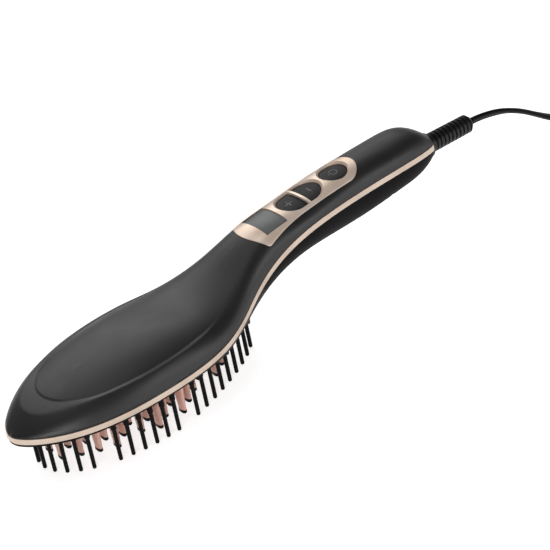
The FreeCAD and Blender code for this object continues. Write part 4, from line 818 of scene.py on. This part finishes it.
# %% Softened pieces
BEVEL_WIDTH = 0.35
BEVEL_SEGMENTS = 3
SHARP_TURN = math.radians(28)
FLAT_TURN = math.radians(1.0)
JOIN_REACH = 0.002
SOFTENED = (
    # name, the piece it is a copy of, body, slot, finish
    ("rose_panel", "control_panel", "body", "panel", "rose_gold_panel"),
    ("power_key_cap", "power_button", "power_key", "keys", "key_plastic"),
    ("plus_key_cap", "plus_button", "plus_key", "keys", "key_plastic"),
    ("minus_key_cap", "minus_button", "minus_key", "keys", "key_plastic"),
)


def softened(name, piece_name, body):
    """A copy of a solid piece with bevelled sharp edges, that stands for the piece."""
    made = bmesh.new()
    made.from_mesh(NODES[piece_name].data)
    bmesh.ops.remove_doubles(made, verts=made.verts, dist=JOIN_REACH * MM)
    bmesh.ops.dissolve_limit(made, angle_limit=FLAT_TURN, verts=made.verts, edges=made.edges)
    sharp = [edge for edge in made.edges if edge.is_manifold and edge.calc_face_angle(0) > SHARP_TURN]
    bmesh.ops.bevel(
        made, geom=sharp, offset=BEVEL_WIDTH * MM, offset_type="OFFSET", segments=BEVEL_SEGMENTS,
        profile=0.5, affect="EDGES", clamp_overlap=True, material=-1,
    )
    piece = new_piece(name, made, body)
    hold = piece.modifiers.new("even_shading", "WEIGHTED_NORMAL")
    hold.keep_sharp = True
    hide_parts(piece_name)
    return piece


CAPS = {}
for name, source, body, slot_name, finish_name in SOFTENED:
    CAPS[name] = softened(name, source, body)
    give_finish(CAPS[name], finish_name)
    print(name, len(CAPS[name].data.polygons), "faces")

# %% [markdown]
# The keys carry their usual signs: plus on the key nearer the head, minus on the other, and
# the sign for power on the round one. Print lies on the key, so each sign is drawn flat in
# the panel's own plane, dropped on the key's cap along the panel's normal and given the
# thickness of a film of paint. Places along the panel count from the rib between the plus
# and minus keys.

# %% Signs on the keys
PANEL_TILT = math.radians(3.8)
PANEL_ALONG = Vector((math.cos(PANEL_TILT), 0, math.sin(PANEL_TILT)))
PANEL_UP = Vector((-math.sin(PANEL_TILT), 0, math.cos(PANEL_TILT)))
RIB = at(195.7, 0, 60.2)
CAST_HEIGHT = 20
PRINT_LIFT = 0.04
PRINT_FILM = 0.02


def strip(made, points, width):
    """Two rows of vertices beside a line of places, joined by faces."""
    rows = []
    for index, place in enumerate(points):
        ahead = (points[min(index + 1, len(points) - 1)] - points[max(index - 1, 0)]).normalized()
        beside = Vector((-ahead.y, ahead.x, 0)) * width / 2
        rows.append((made.verts.new(place + beside), made.verts.new(place - beside)))
    for (a, b), (c, d) in zip(rows, rows[1:]):
        made.faces.new((a, b, d, c))


def line_of(start, end, steps=10):
    """Evenly spaced places from one point to another."""
    return [Vector(start).lerp(Vector(end), step / steps) for step in range(steps + 1)]


def arc_of(radius, gap, steps=40):
    """A circle that is left open, by that angle, on the side of the display."""
    turns = [math.pi + gap / 2 + (math.tau - gap) * step / steps for step in range(steps + 1)]
    return [Vector((radius * math.cos(turn), radius * math.sin(turn), 0)) for turn in turns]


def printed(name, key, body, along, lines, width):
    """A sign on a key's cap, from its lines about the key's middle."""
    made = bmesh.new()
    for points in lines:
        strip(made, points, width)
    cap = BVHTree.FromObject(CAPS[key], bpy.context.evaluated_depsgraph_get())
    for vertex in made.verts:
        on_panel = RIB + PANEL_ALONG * (along + vertex.co.x) * MM + Vector((0, vertex.co.y * MM, 0))
        place = cap.ray_cast(on_panel + PANEL_UP * (CAST_HEIGHT * MM), -PANEL_UP)[0]
        vertex.co = place + PANEL_UP * PRINT_LIFT * MM
    bmesh.ops.recalc_face_normals(made, faces=made.faces)
    if sum(face.normal.z for face in made.faces) < 0:
        bmesh.ops.reverse_faces(made, faces=made.faces)
    piece = new_piece(name, made, body)
    film = piece.modifiers.new("film", "SOLIDIFY")
    film.thickness = PRINT_FILM * MM
    film.offset = -1.0
    give_finish(piece, "key_print")


BAR = line_of((0, -2.3, 0), (0, 2.3, 0))
CROSS_HALVES = [line_of((0.45, 0, 0), (2.3, 0, 0), 5), line_of((-2.3, 0, 0), (-0.45, 0, 0), 5)]
POWER_LINES = [arc_of(2.3, 1.3), line_of((-3.1, 0, 0), (-0.4, 0, 0))]
SIGNS = (
    # name, key's cap, body, millimetres along the panel, lines, width of the lines
    ("plus_sign", "plus_key_cap", "plus_key", -6.95, [BAR, *CROSS_HALVES], 0.9),
    ("minus_sign", "minus_key_cap", "minus_key", 6.95, [BAR], 0.9),
    ("power_sign", "power_key_cap", "power_key", 24.2, POWER_LINES, 0.65),
)
for row in SIGNS:
    printed(*row)
print(len(SIGNS), "signs printed")
